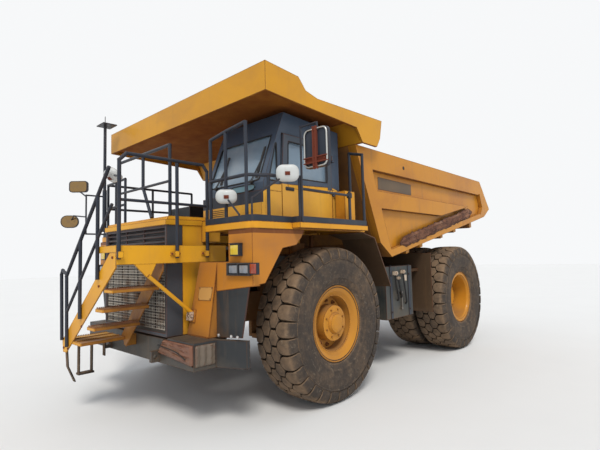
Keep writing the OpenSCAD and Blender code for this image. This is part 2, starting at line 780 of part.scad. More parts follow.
// Headlights, amber work lamps and turn lamps on the towers
module lamps() {
    color([0.85, 0.85, 0.80]) from_axle() both_sides() {
        y1 = -deck_front + 10 - pin_gap;
        for (x = [1675, 1870]) block([x, y1 - 25, 1850], [x + 175, y1, 1970]);
        block([1750, y1 - 60, 2065], [1915, y1, 2210]);
        block([2076, y1 - 40, 1850], [2205, y1, 1985]);
    }
}

// CAB

cab_floor = deck_top + 0.5;
glass_t = 8;
roof_t = 70;
brow_z = cab_top - 290;
screen_lean = 270;
door_front = -860;
door_back = 200;
frame_w = 90;

function cab_side_profile(grow = 0) = [
    [-cab_front - grow, cab_floor], [-cab_front - grow, cab_sill],
    [-cab_front + screen_lean - grow, brow_z], [-cab_front + screen_lean + 120, cab_top],
    [cab_back + grow, cab_top - 60], [cab_back + grow, cab_floor]];

// Cut for the door, or the door's own outline when grown by a negative gap
function door_profile(gap) = [
    [door_front - gap, cab_floor + 90 - gap], [door_front - gap, cab_sill],
    [door_front + 45 - gap, brow_z - 20 + gap], [door_back + gap, brow_z - 20 + gap],
    [door_back + gap, cab_floor + 90 - gap]];

module cab_shell() {
    color(dark) from_axle() difference() {
        side_plate(cab_right, cab_left, cab_side_profile());
        side_plate(cab_right + cab_wall, cab_left - cab_wall, [
            [-cab_front + cab_wall, cab_floor + 40], [-cab_front + cab_wall, cab_sill],
            [-cab_front + screen_lean + cab_wall, brow_z],
            [-cab_front + screen_lean + 140, cab_top - roof_t],
            [cab_back - cab_wall, cab_top - 60 - roof_t], [cab_back - cab_wall, cab_floor + 40]]);
        block([cab_right + frame_w, -cab_front - 100, cab_sill + 30], [cab_left - frame_w,
            -cab_front + 340, brow_z - 30]);
        block([cab_right + frame_w, cab_back - 100, cab_sill + 60], [cab_left - frame_w,
            cab_back + 50, brow_z - 80]);
        side_plate(cab_left - cab_wall - 10, cab_left + 10, door_profile(door_gap));
        side_plate(cab_right - 10, cab_right + cab_wall + 10, [[-cab_front + 110, cab_sill + 40],
            [-cab_front + screen_lean + 40, brow_z - 40], [cab_back - frame_w, brow_z - 40],
            [cab_back - frame_w, cab_sill + 40]]);
        side_plate(cab_left - cab_wall - 10, cab_left + 10, [[-cab_front + 90, cab_sill + 30],
            [-cab_front + 224, brow_z - 160], [door_front - 60, brow_z - 160],
            [door_front - 60, cab_sill + 30]]);
    }
    color(dark) from_axle() for (z = door_hinges) {
        block([cab_left - 5, door_hinge_y - 1, z - 30], [hinge_x + 18, door_hinge_y + 24, z]);
        translate([hinge_x, door_hinge_y + 4, z - 30]) cylinder(h = 30, r = 18, $fn = 24);
        translate([hinge_x, door_hinge_y, z - 20]) cylinder(h = 80, r = 9, $fn = 24);
    }
}

// Yellow lower skins and the toe box round the cab's foot
module cab_skirt() {
    color(yellow) from_axle() difference() {
        plan_plate(cab_floor, 2900, [[cab_right, -cab_front - 40], [cab_left, -cab_front - 40],
            [cab_left + 30, -cab_front], [cab_left + 30, cab_back], [cab_left + pin_gap, cab_back],
            [cab_left + pin_gap, -cab_front - pin_gap], [cab_right, -cab_front - pin_gap]]);
        side_plate(cab_left - 10, cab_left + 40, door_profile(door_gap));
    }
}

// Fixed panes: windscreen, rear, right side and the quarter light
module cab_glass() {
    color(glass) from_axle() {
        side_plate(cab_right + frame_w + pin_gap, cab_left - frame_w - pin_gap, [
            [-cab_front + 26, cab_sill + 30 + pin_gap], [-cab_front + 26 + glass_t, cab_sill + 30 + pin_gap],
            [-cab_front + screen_lean + 14 + glass_t, brow_z - 30 - pin_gap],
            [-cab_front + screen_lean + 14, brow_z - 30 - pin_gap]]);
        block([cab_right + frame_w + pin_gap, cab_back - 30, cab_sill + 60 + pin_gap], [cab_left - frame_w
            - pin_gap, cab_back - 30 + glass_t, brow_z - 80 - pin_gap]);
        side_plate(cab_right + 26, cab_right + 26 + glass_t, [[-cab_front + 113, cab_sill + 40 + pin_gap],
            [-cab_front + screen_lean + 43, brow_z - 40 - pin_gap],
            [cab_back - frame_w - pin_gap, brow_z - 40 - pin_gap],
            [cab_back - frame_w - pin_gap, cab_sill + 40 + pin_gap]]);
        side_plate(cab_left - 26 - glass_t, cab_left - 26, [[-cab_front + 91, cab_sill + 30 + pin_gap],
            [-cab_front + 224.5, brow_z - 160 - pin_gap],
            [door_front - 60 - pin_gap, brow_z - 160 - pin_gap],
            [door_front - 60 - pin_gap, cab_sill + 30 + pin_gap]]);
    }
}

module operator_chair() {
    x = (cab_left + cab_right) / 2 + 60;
    z = cab_floor + 40 + pin_gap;
    color(dark) from_axle() union() {
        block([x - 160, -340, z], [x + 160, 60, z + 330]);
        block([x - 260, -440, z + 320], [x + 260, 130, z + 450]);
        side_plate(x - 250, x + 250, [[20, z + 400], [140, z + 400], [230, z + 1080], [130, z + 1080]]);
    }
}

module dash_console() {
    x = (cab_left + cab_right) / 2 + 60;
    z = cab_floor + 40 + pin_gap;
    color(dark) from_axle() union() {
        side_plate(cab_right + cab_wall + 5, cab_left - cab_wall - 5, [[-cab_front + 65, z],
            [-cab_front + 65, z + 480], [-cab_front + 240, z + 480], [-cab_front + 330, z + 400],
            [-cab_front + 330, z]]);
        bar([x, -cab_front + 300, z + 380], [x, -cab_front + 470, z + 640], 30);
        translate([x, -cab_front + 470, z + 640]) rotate([33, 0, 0]) {
            rotate_extrude($fn = 48) translate([205, 0]) square([28, 26], center = true);
            block([-200, -16, -10], [200, 16, 10]);
        }
    }
}

hinge_x = cab_left + 42;
door_hinge_y = door_back + 16;
door_hinges = [2960, 3480];

// Door with its window cut, hung at its rear edge
module cab_door() {
    x0 = cab_left - 45;
    x1 = cab_left + 28;
    color(yellow) from_axle() difference() {
        union() {
            side_plate(x0, x1, door_profile(0));
            for (z = door_hinges) {
                translate([hinge_x, door_hinge_y, z + 0.5]) cylinder(h = 60, r = 17, $fn = 24);
                block([x1 - 2, door_back - 50, z + 0.5], [x1 + 12, door_hinge_y - 4, z + 60.5]);
            }
        }
        side_plate(x0 - 5, x1 + 5, [[door_front + 110, cab_sill - 30], [door_front + 130, brow_z - 110],
            [door_back - 100, brow_z - 110], [door_back - 100, cab_sill - 30]]);
        for (z = door_hinges) translate([hinge_x, door_hinge_y, z - 10])
            cylinder(h = 80, r = 9 + pin_gap, $fn = 24);
    }
}

module door_glass() {
    color(glass) from_axle() side_plate(cab_left - 20, cab_left - 12, [
        [door_front + 110.4, cab_sill - 30 + pin_gap], [door_front + 130.4, brow_z - 110 - pin_gap],
        [door_back - 100 - pin_gap, brow_z - 110 - pin_gap],
        [door_back - 100 - pin_gap, cab_sill - 30 + pin_gap]]);
}

// RAILS, MIRRORS AND MAST

rail_top = 3270;
rail_mid = 2740;
hood_rail_y = -nose_front + 70;
hood_rail_top = 3540;
post_y = [stair_front + 20, -1950, -1500];

// Rails round the landing, along the front edge of the hood and round the right deck
module landing_rails() {
    x = beam_x + rail_r + pin_gap;
    foot = hood_top + pin_gap;
    color(dark) from_axle() {
        tube_path([[x, post_y[0], beam_z + 60], [x, post_y[0], rail_top - 75],
            [x, post_y[0] + 85, rail_top + 12], [x, post_y[2] - 65, rail_top + 18],
            [x, post_y[2], rail_top - 65], [x, post_y[2], beam_z + 60]]);
        bar([x, post_y[1], beam_z + 60], [x, post_y[1], rail_top + 15 - rail_r - 2], rail_r);
        for (i = [0, 1]) bar([x, post_y[i] + rail_r + pin_gap, rail_mid],
            [x, post_y[i + 1] - rail_r - pin_gap, rail_mid], 18);
        union() {
            tube_path([[nose_half_w - 30, hood_rail_y, foot], [nose_half_w - 30, hood_rail_y, hood_rail_top],
                [-590, hood_rail_y, hood_rail_top], [-590, hood_rail_y, foot]]);
            bar([nose_half_w - 30, hood_rail_y, 3065], [-590, hood_rail_y, 3065], 18);
            tube_path([[150, hood_rail_y, hood_rail_top], [150, hood_rail_y, 3065],
                [390, hood_rail_y, foot + 11]]);
        }
        mirror([1, 0, 0]) union() {
            z = deck_top + pin_gap;
            for (p = [[deck_inner_x + 60, -1540], [1660, -1510], [2060, -1480], [2060, -600], [2060, 300]])
                bar([p[0], p[1], z], [p[0], p[1], 3440], rail_r);
            for (h = [3000, 3440])
                tube_path([[deck_inner_x + 60, -1540, h], [2060, -1480, h], [2060, 300, h]]);
        }
    }
}

// Handrails on the outer side of the stair, with the grab loop at its foot
module stair_rails() {
    y = -front_overhang + rail_r;
    color(dark) from_axle() union() {
        tube_path([[-365, y, 930], [-400, y, 1860], [905, y, 3135]]);
        tube_path([[-545, y, 1000], [-590, y, 1880], [-545, y, 1936], [-392, y, 1880]]);
        for (p = [[70, 1330, 2318], [597, 1830, 2834]]) bar([p[0], y, p[1]], [p[0], y, p[2]], rail_r);
        bar([-385, y, 1374], [990, y, 2690], 18);
    }
}

// Rails that stand round the cab on its deck
module cab_rails() {
    z = deck_top + pin_gap;
    color(dark) from_axle() union() {
        for (p = [[1230, -1550, 3600], [1550, -1550, 3640], [1920, -1530, 3700], [2060, -1300, 3050],
                [side_post_x, side_front_y, 3060]])
            bar([p[0], p[1], z], p, rail_r);
        tube_path([[1230, -1550, 3590], [1550, -1550, 3640], [1920, -1530, 3690]]);
        tube_path([[1230, -1550, 3040], [1920, -1530, 3040], [2060, -1300, 3040],
            [side_post_x, side_front_y, 3040]]);
        bar([side_post_x, side_rear_y, z], [side_post_x, side_rear_y, bar_z + 60], rail_r);
        tube_path([[side_post_x, 530, z], [side_post_x, 530, 3560], [1960, 530, 3620], [1960, 530, z]]);
    }
}

bar_z = 2900;

// Guard bar across the door's walkway, turning on the rear post
module side_bar() {
    color(dark) from_axle() difference() {
        union() {
            translate([side_post_x, side_rear_y, bar_z - 35]) cylinder(h = 70, r = 38, $fn = 32);
            bar([side_post_x, side_rear_y - 25, bar_z], [side_post_x, side_front_y + rail_r + 6, bar_z], 18);
        }
        translate([side_post_x, side_rear_y, bar_z - 60])
            cylinder(h = 120, r = rail_r + pin_gap, $fn = 32);
    }
}

// Rounded outline of a mirror, about its middle
function mirror_face(w, h, r) = [for (k = [0 : 3], i = [0 : 5]) let (a = k * 90 + i * 18)
    [(k == 0 || k == 3 ? 1 : -1) * (w / 2 - r) + r * cos(a), (k < 2 ? 1 : -1) * (h / 2 - r) + r * sin(a)]];

// A mirror's shell round its middle, turned on the spot and tilted up or down
module mirror_head(place, tilt, turn, w, h, r) {
    translate(place) rotate([90 + tilt, 0, turn]) translate([0, 0, -23]) linear_extrude(46)
        polygon(mirror_face(w, h, r));
}

// Half of the width over the mirrors, which is alike on both sides
mirror_reach = 2698;
big_mirror_w = 380;
mirror_x = mirror_reach - big_mirror_w / 2;
round_mirror_w = 300;
round_mirror_turn = 60;

// Wing mirrors and rounded view mirrors, each with its arm
module mirrors() {
    x = side_post_x + rail_r + 14 + pin_gap;
    z = deck_top + pin_gap;
    round_x = -(mirror_reach - round_mirror_w / 2 * cos(round_mirror_turn) - 23 * sin(round_mirror_turn));
    color(dark) from_axle() {
        union() {
            tube_path([[x, side_front_y, z], [x, side_front_y, 3680], [mirror_x, side_front_y, 3680]], 14);
            mirror_head([mirror_x, side_front_y, 3360], 0, 0, big_mirror_w, 490, 60);
            bar([mirror_x, side_front_y, 3590], [mirror_x, side_front_y, 3690], 14);
        }
        union() {
            tube_path([[1985, -1505, z], [1985, -1505, 2750], [2305, -1215, 3035]], 12);
            mirror_head([2289, -1198, 3042], 12, 45, 270, 200, 80);
        }
        union() {
            tube_path([[1850, -1590, z], [1850, -1590, 2560], [1640, -1610, 2780]], 12);
            mirror_head([1620, -1600, 2800], 12, 52, 255, 170, 75);
        }
        union() {
            bar([beam_x - 2, post_y[0], 3010], [735, -2605, 3075], 12);
            mirror_head([716, -2600, 3080], 50, 0, 250, 180, 80);
        }
        union() {
            tube_path([[-1990, -1570, z], [-1990, -1570, 3215], [-1990, -1895, 3215],
                [-1990, -1895, 2530], [-1990, -1575, 2530]], 14);
            bar([-1990, -1895, 3190], [-2090, -1975, 3290], 12);
            mirror_head([-2100, -1980, 3370], 0, 45, 320, 200, 50);
            tube_path([[-1990, -1895, 2830], [-2390, -1955, 2880], [round_x + 30, -1931, 2818]], 12);
            mirror_head([round_x, -1949, 2788], 0, round_mirror_turn, round_mirror_w, 230, 105);
        }
    }
}

mast_at = [-1800, -1655];
mast_top = 4480;

// Mast with its flat aerial plate, and a whip aerial
module mast() {
    p = mast_at;
    color(dark) from_axle() union() {
        bar([p[0], p[1], 2560], [p[0], p[1], 3300], 36);
        bar([p[0], p[1], 3250], [p[0], p[1], mast_top], 26);
        block([p[0] - 150, p[1] - 90, mast_top - 10], [p[0] + 150, p[1] + 150, mast_top + 8]);
        bar([p[0], p[1], mast_top], [p[0], p[1], mast_top + 160], 6);
        block([p[0] - 40, p[1] - 20, 2560], [p[0] + 40, -deck_front - pin_gap, 2600]);
    }
}

tank_rear = wheelbase - 1735;

// Oil tank on the left, fuel tank on the right
module tanks() {
    color(dark) from_axle() {
        block([rail_x + pin_gap, 1620, 900], [1860, tank_rear, 1820]);
        mirror([1, 0, 0]) block([rail_x + pin_gap, 1620, 840], [1900, tank_rear, 1800]);
    }
}

// BED

slope_t = tan(floor_slope);
bed_front_y = 1630;
function floor_z(y) = floor_front_z + (y - bed_front_y) * slope_t;
wall_x = bed_half_w - side_box_d;
inner_x = wall_x - bed_plate_t + 5;
tail_top_y = tail_y - 600;
tail_tip_z = floor_z(tail_y) + 140;

front_foot = [1280, 2230];
front_lean = [790, 3400];
front_crown = [640, bed_top];

function bed_side_outline() = [
    [bed_front_y, floor_front_z], front_foot, front_lean, front_crown, [1130, bed_top],
    [tail_top_y, bed_top], [tail_y, tail_tip_z], [tail_y - 400, floor_z(tail_y - 400)]];

module bed_side() {
    side_plate(wall_x - bed_plate_t, wall_x, bed_side_outline());
    side_plate(wall_x - eps, bed_half_w, [[bed_front_y, floor_front_z], front_foot, front_lean,
        front_crown, [990, bed_top], [1640, floor_z(1640) + 60]]);
    side_plate(wall_x - eps, bed_half_w, [[1050, 3440], [990, bed_top], [tail_top_y, bed_top],
        [tail_top_y + 250, bed_top - 260], [tail_top_y - 150, 3440]]);
    side_plate(wall_x - eps, bed_half_w, [[1300, 2810], [1180, 3100], [5200, 3100], [3700, 2810]]);
    side_plate(wall_x - eps, bed_half_w, [[tail_top_y - 150, bed_top - 20], [tail_top_y, bed_top],
        [tail_y, tail_tip_z], [tail_y - 400, floor_z(tail_y - 400)],
        [tail_y - 700, floor_z(tail_y - 700)], [tail_y - 500, 3150]]);
    side_plate(wall_x - eps, bed_half_w, [[bed_front_y, floor_front_z],
        [bed_front_y - 60, floor_front_z + 120],
        [tail_y - 700, floor_z(tail_y - 700) + 120], [tail_y - 400, floor_z(tail_y - 400)]]);
}

sill_z = frame_rear_top + 20;

// Floor, sides and leaning front wall with the sills and cross ribs under them
module bed_tub() {
    color(yellow) from_axle() difference() {
        union() {
            both_sides() bed_side();
            side_plate(-inner_x, inner_x, [[bed_front_y + 2, floor_front_z + 2],
                [tail_y - 400, floor_z(tail_y - 400) + 2], [tail_y - 10, tail_tip_z - 8],
                [tail_y - 40, tail_tip_z + 30], [tail_y - 400, floor_z(tail_y - 400) + floor_t],
                [bed_front_y, floor_front_z + floor_t]]);
            side_plate(-inner_x, inner_x, [[bed_front_y + 2, floor_front_z + 3], front_foot + [2, 0],
                front_lean + [2, 0], front_crown + [2, -2], front_crown + [42, -2], front_lean + [42, 0],
                front_foot + [60, 20], [bed_front_y + 20, floor_front_z + floor_t]]);
            both_sides() side_plate(rail_x - rail_w, rail_x, [[1900, sill_z], [hinge_y - 260, sill_z],
                [hinge_y - 180, floor_z(hinge_y - 180) + 10], [1900, floor_z(1900) + 10]]);
            both_sides() side_plate(rail_x + 8, rail_x + 88, [[hinge_y - 130, hinge_z - 60],
                [hinge_y - 60, hinge_z - 130], [hinge_y + 60, hinge_z - 130], [hinge_y + 130, hinge_z - 60],
                [hinge_y + 300, floor_z(hinge_y + 300) + 10], [hinge_y - 420, floor_z(hinge_y - 420) + 10]]);
            for (y = [2300, 2850, 3800, 4500, 5450]) side_plate(-inner_x, inner_x, [
                [y, floor_z(y) + 10], [y, floor_z(y) - (y > 5000 ? 150 : 90)],
                [y + 120, floor_z(y + 120) - (y > 5000 ? 150 : 90)], [y + 120, floor_z(y + 120) + 10]]);
            both_sides() side_plate(rail_x + 25, rail_x + 45, [[hoist_high_y - 120, hoist_high_z + 60],
                [hoist_high_y - 60, hoist_high_z - 60], [hoist_high_y + 60, hoist_high_z - 60],
                [hoist_high_y + 160, floor_z(hoist_high_y + 160) + 5],
                [hoist_high_y - 200, floor_z(hoist_high_y - 200) + 5]]);
        }
        both_sides() x_bar(rail_x, rail_x + 100, hinge_y, hinge_z, hinge_pin_r + pin_gap);
    }
}

fascia_low = canopy_top - fascia_h;
shelf_z = canopy_top - 320;

// Canopy over the cab: fascia, side wings, shelf plate and its ribs
module canopy() {
    wing = [[-canopy_front, fascia_low], [-canopy_front, canopy_top], [-800, canopy_top - 30],
        [-660, canopy_top - 180], [-420, canopy_top - 230], [1230, canopy_top - 180],
        [1160, bed_top + 155], [1060, bed_top + pin_gap], [650, bed_top + pin_gap],
        [500, fascia_low - 70], [-960, fascia_low - 20]];
    color(yellow) from_axle() union() {
        both_sides() side_plate(canopy_half_w - 40, canopy_half_w, wing);
        block([-canopy_half_w + 10, -canopy_front, fascia_low], [canopy_half_w - 10,
            -canopy_front + 40, canopy_top]);
        block([-canopy_half_w + 10, -canopy_front + 10, shelf_z], [canopy_half_w - 10, 560, shelf_z + 30]);
        side_plate(-canopy_half_w + 10, canopy_half_w - 10, [[500, shelf_z],
            [front_crown[0] + 2, bed_top + pin_gap],
            [front_crown[0] + 60, bed_top + pin_gap], [580, shelf_z + 30]]);
        for (y = [-900, -400, 100]) block([-canopy_half_w + 10, y, shelf_z + 20], [canopy_half_w - 10,
            y + 70, shelf_z + 95]);
    }
}

// HOIST

hoist_dir = [0, hoist_high_y - hoist_low_y, hoist_high_z - hoist_low_z];
hoist_len = norm(hoist_dir);
hoist_tilt = atan2(hoist_dir[1], hoist_dir[2]);
stage_r = hoist_r - 17;
rod_r = stage_r - 17;

// Puts a shape that is drawn up from the lower hoist pin in its place
module hoist_place() {
    from_axle() both_sides() translate([hoist_x, hoist_low_y, hoist_low_z])
        rotate([-hoist_tilt, 0, 0]) children();
}

module hoist_barrels() {
    color(yellow) hoist_place() difference() {
        union() {
            translate([0, 0, 30]) cylinder(h = hoist_len - 190, r = hoist_r, $fn = 48);
            x_bar(-68, 68, 0, 0, 72);
        }
        translate([0, 0, 100]) cylinder(h = hoist_len, r = stage_r + pin_gap, $fn = 48);
        x_bar(-hoist_r - 5, hoist_r + 5, 0, 0, 45 + pin_gap, 32);
    }
}

module hoist_stages() {
    color(steel) hoist_place() difference() {
        translate([0, 0, 105]) cylinder(h = hoist_len - 235, r = stage_r, $fn = 48);
        translate([0, 0, 135]) cylinder(h = hoist_len, r = rod_r + pin_gap, $fn = 48);
    }
}

module hoist_rods() {
    color(steel) hoist_place() union() {
        translate([0, 0, 140]) cylinder(h = hoist_len - 180, r = rod_r, $fn = 48);
        translate([0, 0, hoist_len]) x_bar(-45, 50, 0, 0, 78);
        translate([0, 0, hoist_len]) x_bar(-50, 62, 0, 0, 45);
    }
}

frame();
bumper();
radiator_housing();
radiator_mesh();
louvre_grille();
hood();
engine();
front_landing();
stair();
hanging_steps();
fenders();
cab_deck();
right_deck();
mudguards();
lamps();
cab_shell();
cab_skirt();
cab_glass();
operator_chair();
dash_console();
cab_door();
door_glass();
landing_rails();
stair_rails();
cab_rails();
side_bar();
mirrors();
mast();
tanks();
suspension_struts();
rear_axle();
knuckle_left();
knuckle_right();
tie_rod();
tyre_front_left();
rim_front_left();
tyre_front_right();
rim_front_right();
tyres_rear_left();
rims_rear_left();
tyres_rear_right();
rims_rear_right();
bed_tub();
canopy();
hoist_barrels();
hoist_stages();
hoist_rods();
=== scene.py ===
"""Looks of the rigid mining dump truck.

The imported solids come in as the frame. This script gives each of them its finish and adds the
fine pieces that they lack: tread blocks, wheel nuts, guard wires, lenses, grips, mirrors, seals,
skins, hoses and mud. Lengths are metres in the row frame: +Z is up, the truck faces -Y, its cab
side is +X.
"""
import json
import logging
import math
import random
from dataclasses import dataclass, field
from enum import Enum
from typing import Any, Dict, Iterable, List, Mapping, Optional, Sequence, Tuple, Union

import bpy
from mathutils import Matrix, Vector


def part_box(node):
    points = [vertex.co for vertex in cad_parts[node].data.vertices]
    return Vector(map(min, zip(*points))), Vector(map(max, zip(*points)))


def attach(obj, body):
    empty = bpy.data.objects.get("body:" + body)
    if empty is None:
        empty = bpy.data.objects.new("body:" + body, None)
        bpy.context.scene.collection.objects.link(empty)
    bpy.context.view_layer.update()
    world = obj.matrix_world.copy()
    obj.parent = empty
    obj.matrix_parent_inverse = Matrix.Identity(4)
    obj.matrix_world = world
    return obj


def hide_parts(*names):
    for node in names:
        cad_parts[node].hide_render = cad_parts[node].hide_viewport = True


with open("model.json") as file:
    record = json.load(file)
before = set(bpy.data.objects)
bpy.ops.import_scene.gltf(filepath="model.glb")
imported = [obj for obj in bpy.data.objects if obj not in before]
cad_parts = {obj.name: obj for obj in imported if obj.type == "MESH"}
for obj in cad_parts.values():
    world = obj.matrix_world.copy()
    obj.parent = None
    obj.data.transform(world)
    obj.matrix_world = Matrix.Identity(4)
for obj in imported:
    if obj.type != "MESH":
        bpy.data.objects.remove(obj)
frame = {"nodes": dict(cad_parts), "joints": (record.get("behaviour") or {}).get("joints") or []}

Colour = Tuple[float, float, float]
Point = Tuple[float, float, float]
Pair = Tuple[float, float]
Outline = Tuple[Pair, ...]
Window = Tuple[float, float, float, float]
Value = Union["Sock", float]

log = logging.getLogger("dump_truck")

JOINTS: Dict[str, Dict[str, Any]] = {joint["name"]: joint for joint in frame["joints"]}
FRONT_AXLE = Vector(JOINTS["wheel_front_left_spin"]["pos_m"])
REAR_AXLE = Vector(JOINTS["wheels_rear_left_spin"]["pos_m"])
LEFTWARD, AHEAD, UPWARD = Vector((1, 0, 0)), Vector((0, -1, 0)), Vector((0, 0, 1))

LIFT = 0.0003  # keeps a plate's back off the solid that it lies on
SHARP_SPLIT, SOFT_SPLIT = 0.001, 0.004  # metres in which one paint gives way to another
# On the tyres this edge mask also lays dust and a painted highlight along the edges.
EDGE_GAIN = 7.0  # how fast a rounded edge counts as worn
SHARP_ANGLE = 38  # degrees from which an edge is shaded hard


def spot(x: float, y: float, z: float) -> Vector:
    """A place whose Y is counted from the front axle, in the row frame."""
    return Vector((x, FRONT_AXLE.y + y, z))


def rectangle(half_wide: float, half_tall: float) -> Outline:
    """The corners of a rectangle about its middle."""
    return (-half_wide, -half_tall), (half_wide, -half_tall), (half_wide, half_tall), (-half_wide, half_tall)


def srgb(red: int, green: int, blue: int) -> Colour:
    """Turns a screen colour into the linear one that the shaders take.

    Args:
        red: Red from 0 to 255.
        green: Green from 0 to 255.
        blue: Blue from 0 to 255.

    Returns:
        The linear colour.
    """
    def linear(level: int) -> float:
        """One channel, by the sRGB curve."""
        share = level / 255
        return share / 12.92 if share <= 0.04045 else ((share + 0.055) / 1.055) ** 2.4

    return linear(red), linear(green), linear(blue)


class Side(Enum):
    """A side of the truck, as the sign of X."""

    LEFT = 1
    RIGHT = -1

    @property
    def word(self) -> str:
        """The side's name as the bodies have it."""
        return self.name.lower()


class Sock:
    """One shader value. Arithmetic on it adds Math nodes."""

    def __init__(self, nodes: "Nodes", socket: bpy.types.NodeSocket) -> None:
        """Wraps a socket of a node tree."""
        self.nodes = nodes
        self.socket = socket

    def math(self, operation: str, *values: Value, clamp: bool = False) -> "Sock":
        """Adds one Math node with those operands, and gives its result."""
        settings = {"operation": operation, "use_clamp": clamp}
        return self.nodes.sock(self.nodes.node("ShaderNodeMath", settings, dict(enumerate(values))))

    def __add__(self, other: Value) -> "Sock":
        """self + other."""
        return self.math("ADD", self, other)

    def __radd__(self, other: Value) -> "Sock":
        """other + self."""
        return self.math("ADD", other, self)

    def __sub__(self, other: Value) -> "Sock":
        """self - other."""
        return self.math("SUBTRACT", self, other)

    def __rsub__(self, other: Value) -> "Sock":
        """other - self."""
        return self.math("SUBTRACT", other, self)

    def __mul__(self, other: Value) -> "Sock":
        """self * other."""
        return self.math("MULTIPLY", self, other)

    def __rmul__(self, other: Value) -> "Sock":
        """other * self."""
        return self.math("MULTIPLY", other, self)

    def __pow__(self, other: Value) -> "Sock":
        """self ** other."""
        return self.math("POWER", self, other)

    def __rpow__(self, other: Value) -> "Sock":
        """other ** self."""
        return self.math("POWER", other, self)

    def __abs__(self) -> "Sock":
        """The value without its sign."""
        return self.math("ABSOLUTE", self)

    def clamped(self) -> "Sock":
        """The value kept from 0 to 1."""
        return self.math("ADD", self, 0.0, clamp=True)

    def step(self, low: float, high: float) -> "Sock":
        """Rises smoothly from 0 at low to 1 at high."""
        return self.nodes.sock(self.nodes.node("ShaderNodeMapRange", {"interpolation_type": "SMOOTHSTEP"}, {
            "Value": self, "From Min": low, "From Max": high, "To Min": 0.0, "To Max": 1.0}))


class Nodes:
    """A node tree that gets its nodes from one method."""

    def __init__(self, tree: bpy.types.NodeTree) -> None:
        """Takes over a tree."""
        self.tree = tree

    def node(self, kind: str, settings: Mapping[str, Any], sockets: Mapping[Any, Any]) -> bpy.types.Node:
        """Adds a node, makes its settings and then fills its sockets.

        Args:
            kind: The node's type.
            settings: The node's own properties.
            sockets: A value or a Sock for each input, by name or index.

        Returns:
            The node.
        """
        node = self.tree.nodes.new(kind)
        for name, value in settings.items():
            setattr(node, name, value)
        for key, value in sockets.items():
            self.fill(node.inputs[key], value)
        return node

    def fill(self, socket: bpy.types.NodeSocket, value: Any) -> None:
        """Links a Sock to an input, or sets the input's own value.

        Args:
            socket: The input.
            value: A Sock, a number, or a colour or vector as a tuple.
        """
        if isinstance(value, Sock):
            self.tree.links.new(value.socket, socket)
        elif socket.type == "RGBA" and len(value) == 3:
            socket.default_value = (*value, 1.0)
        else:
            socket.default_value = value

    def sock(self, node: bpy.types.Node, output: Union[int, str] = 0) -> Sock:
        """One output of a node, wrapped."""
        return Sock(self, node.outputs[output])


class Shader(Nodes):
    """A material's node tree, with the masks that every finish shares."""

    def __init__(self, name: str) -> None:
        """Starts an empty Principled material.

        Args:
            name: The material's name.
        """
        self.material = bpy.data.materials.new(name)
        self.material.use_nodes = True
        super().__init__(self.material.node_tree)
        self.bsdf = self.tree.nodes["Principled BSDF"]
        self._coord: Optional[bpy.types.Node] = None

    def set(self, **inputs: Any) -> None:
        """Fills inputs of the Principled shader, named with _ for a blank."""
        for name, value in inputs.items():
            self.fill(self.bsdf.inputs[name.replace("_", " ")], value)

    def place(self) -> Sock:
        """The point in the piece's own frame, in metres."""
        return self.coordinate("Object")

    def coordinate(self, output: str) -> Sock:
        """Reads the material's one Texture Coordinate node.

        Args:
            output: The output's name.

        Returns:
            The coordinates.
        """
        if self._coord is None:
            self._coord = self.node("ShaderNodeTexCoord", {}, {})
        return self.sock(self._coord, output)

    def axis(self, vector: Sock, name: str) -> Sock:
        """One component of a vector, "X", "Y" or "Z"."""
        return self.sock(self.node("ShaderNodeSeparateXYZ", {}, {0: vector}), name)

    def dot(self, first: Sock, second: Union[Sock, Point]) -> Sock:
        """The dot product of two vectors."""
        node = self.node("ShaderNodeVectorMath", {"operation": "DOT_PRODUCT"}, {0: first, 1: second})
        return self.sock(node, "Value")

    def noise(self, scale: float, detail: float = 5.0, stretch: Point = (1.0, 1.0, 1.0),
              warp: float = 0.0) -> Sock:
        """Fractal noise from 0 to 1 in the piece's frame.

        Args:
            scale: Features per metre.
            detail: Octaves.
            stretch: A factor for each axis. A small one draws the pattern out.
            warp: How far the pattern is distorted.

        Returns:
            The noise.
        """
        where = self.node("ShaderNodeVectorMath", {"operation": "MULTIPLY"}, {0: self.place(), 1: stretch})
        node = self.node("ShaderNodeTexNoise", {}, {
            "Vector": self.sock(where), "Scale": scale, "Detail": detail, "Roughness": 0.6,
            "Distortion": warp})
        return self.sock(node, "Fac")

    def mix(self, first: Union[Sock, Colour], second: Union[Sock, Colour], share: Value) -> Sock:
        """Two colours mixed, with that share of the second."""
        node = self.node("ShaderNodeMix", {"data_type": "RGBA"}, {0: share, 6: first, 7: second})
        return self.sock(node, 2)

    def rounded_normal(self, radius: float) -> Sock:
        """The normal with every edge rounded by that radius."""
        return self.sock(self.node("ShaderNodeBevel", {"samples": 4}, {"Radius": radius}))

    def edges(self, rounded: Sock) -> Sock:
        """Strong where the rounded normal leaves the real one, so along edges."""
        flat = self.sock(self.node("ShaderNodeNewGeometry", {}, {}), "Normal")
        return ((1.0 - self.dot(rounded, flat)) * EDGE_GAIN).clamped()

    def nooks(self, reach: float) -> Sock:
        """From 0 in the open to 1 deep in a corner whose walls are within reach."""
        node = self.node("ShaderNodeAmbientOcclusion", {"samples": 6}, {"Distance": reach})
        return 1.0 - self.sock(node, "AO")

    def upward(self) -> Sock:
        """From 0 on walls to 1 on level tops, in the piece's own frame."""
        return self.axis(self.coordinate("Normal"), "Z").step(0.35, 0.95)

    def bump(self, height: Sock, strength: float, depth: float, normal: Optional[Sock] = None) -> None:
        """Feeds a Bump node into the shader's normal.

        Args:
            height: The height.
            strength: The bump's strength.
            depth: What a height of 1 stands for, in metres.
            normal: The normal under the bump, where it isn't the mesh's own.
        """
        sockets: Dict[str, Any] = {"Height": height, "Strength": strength, "Distance": depth}
        if normal is not None:
            sockets["Normal"] = normal
        self.set(Normal=self.sock(self.node("ShaderNodeBump", {}, sockets)))


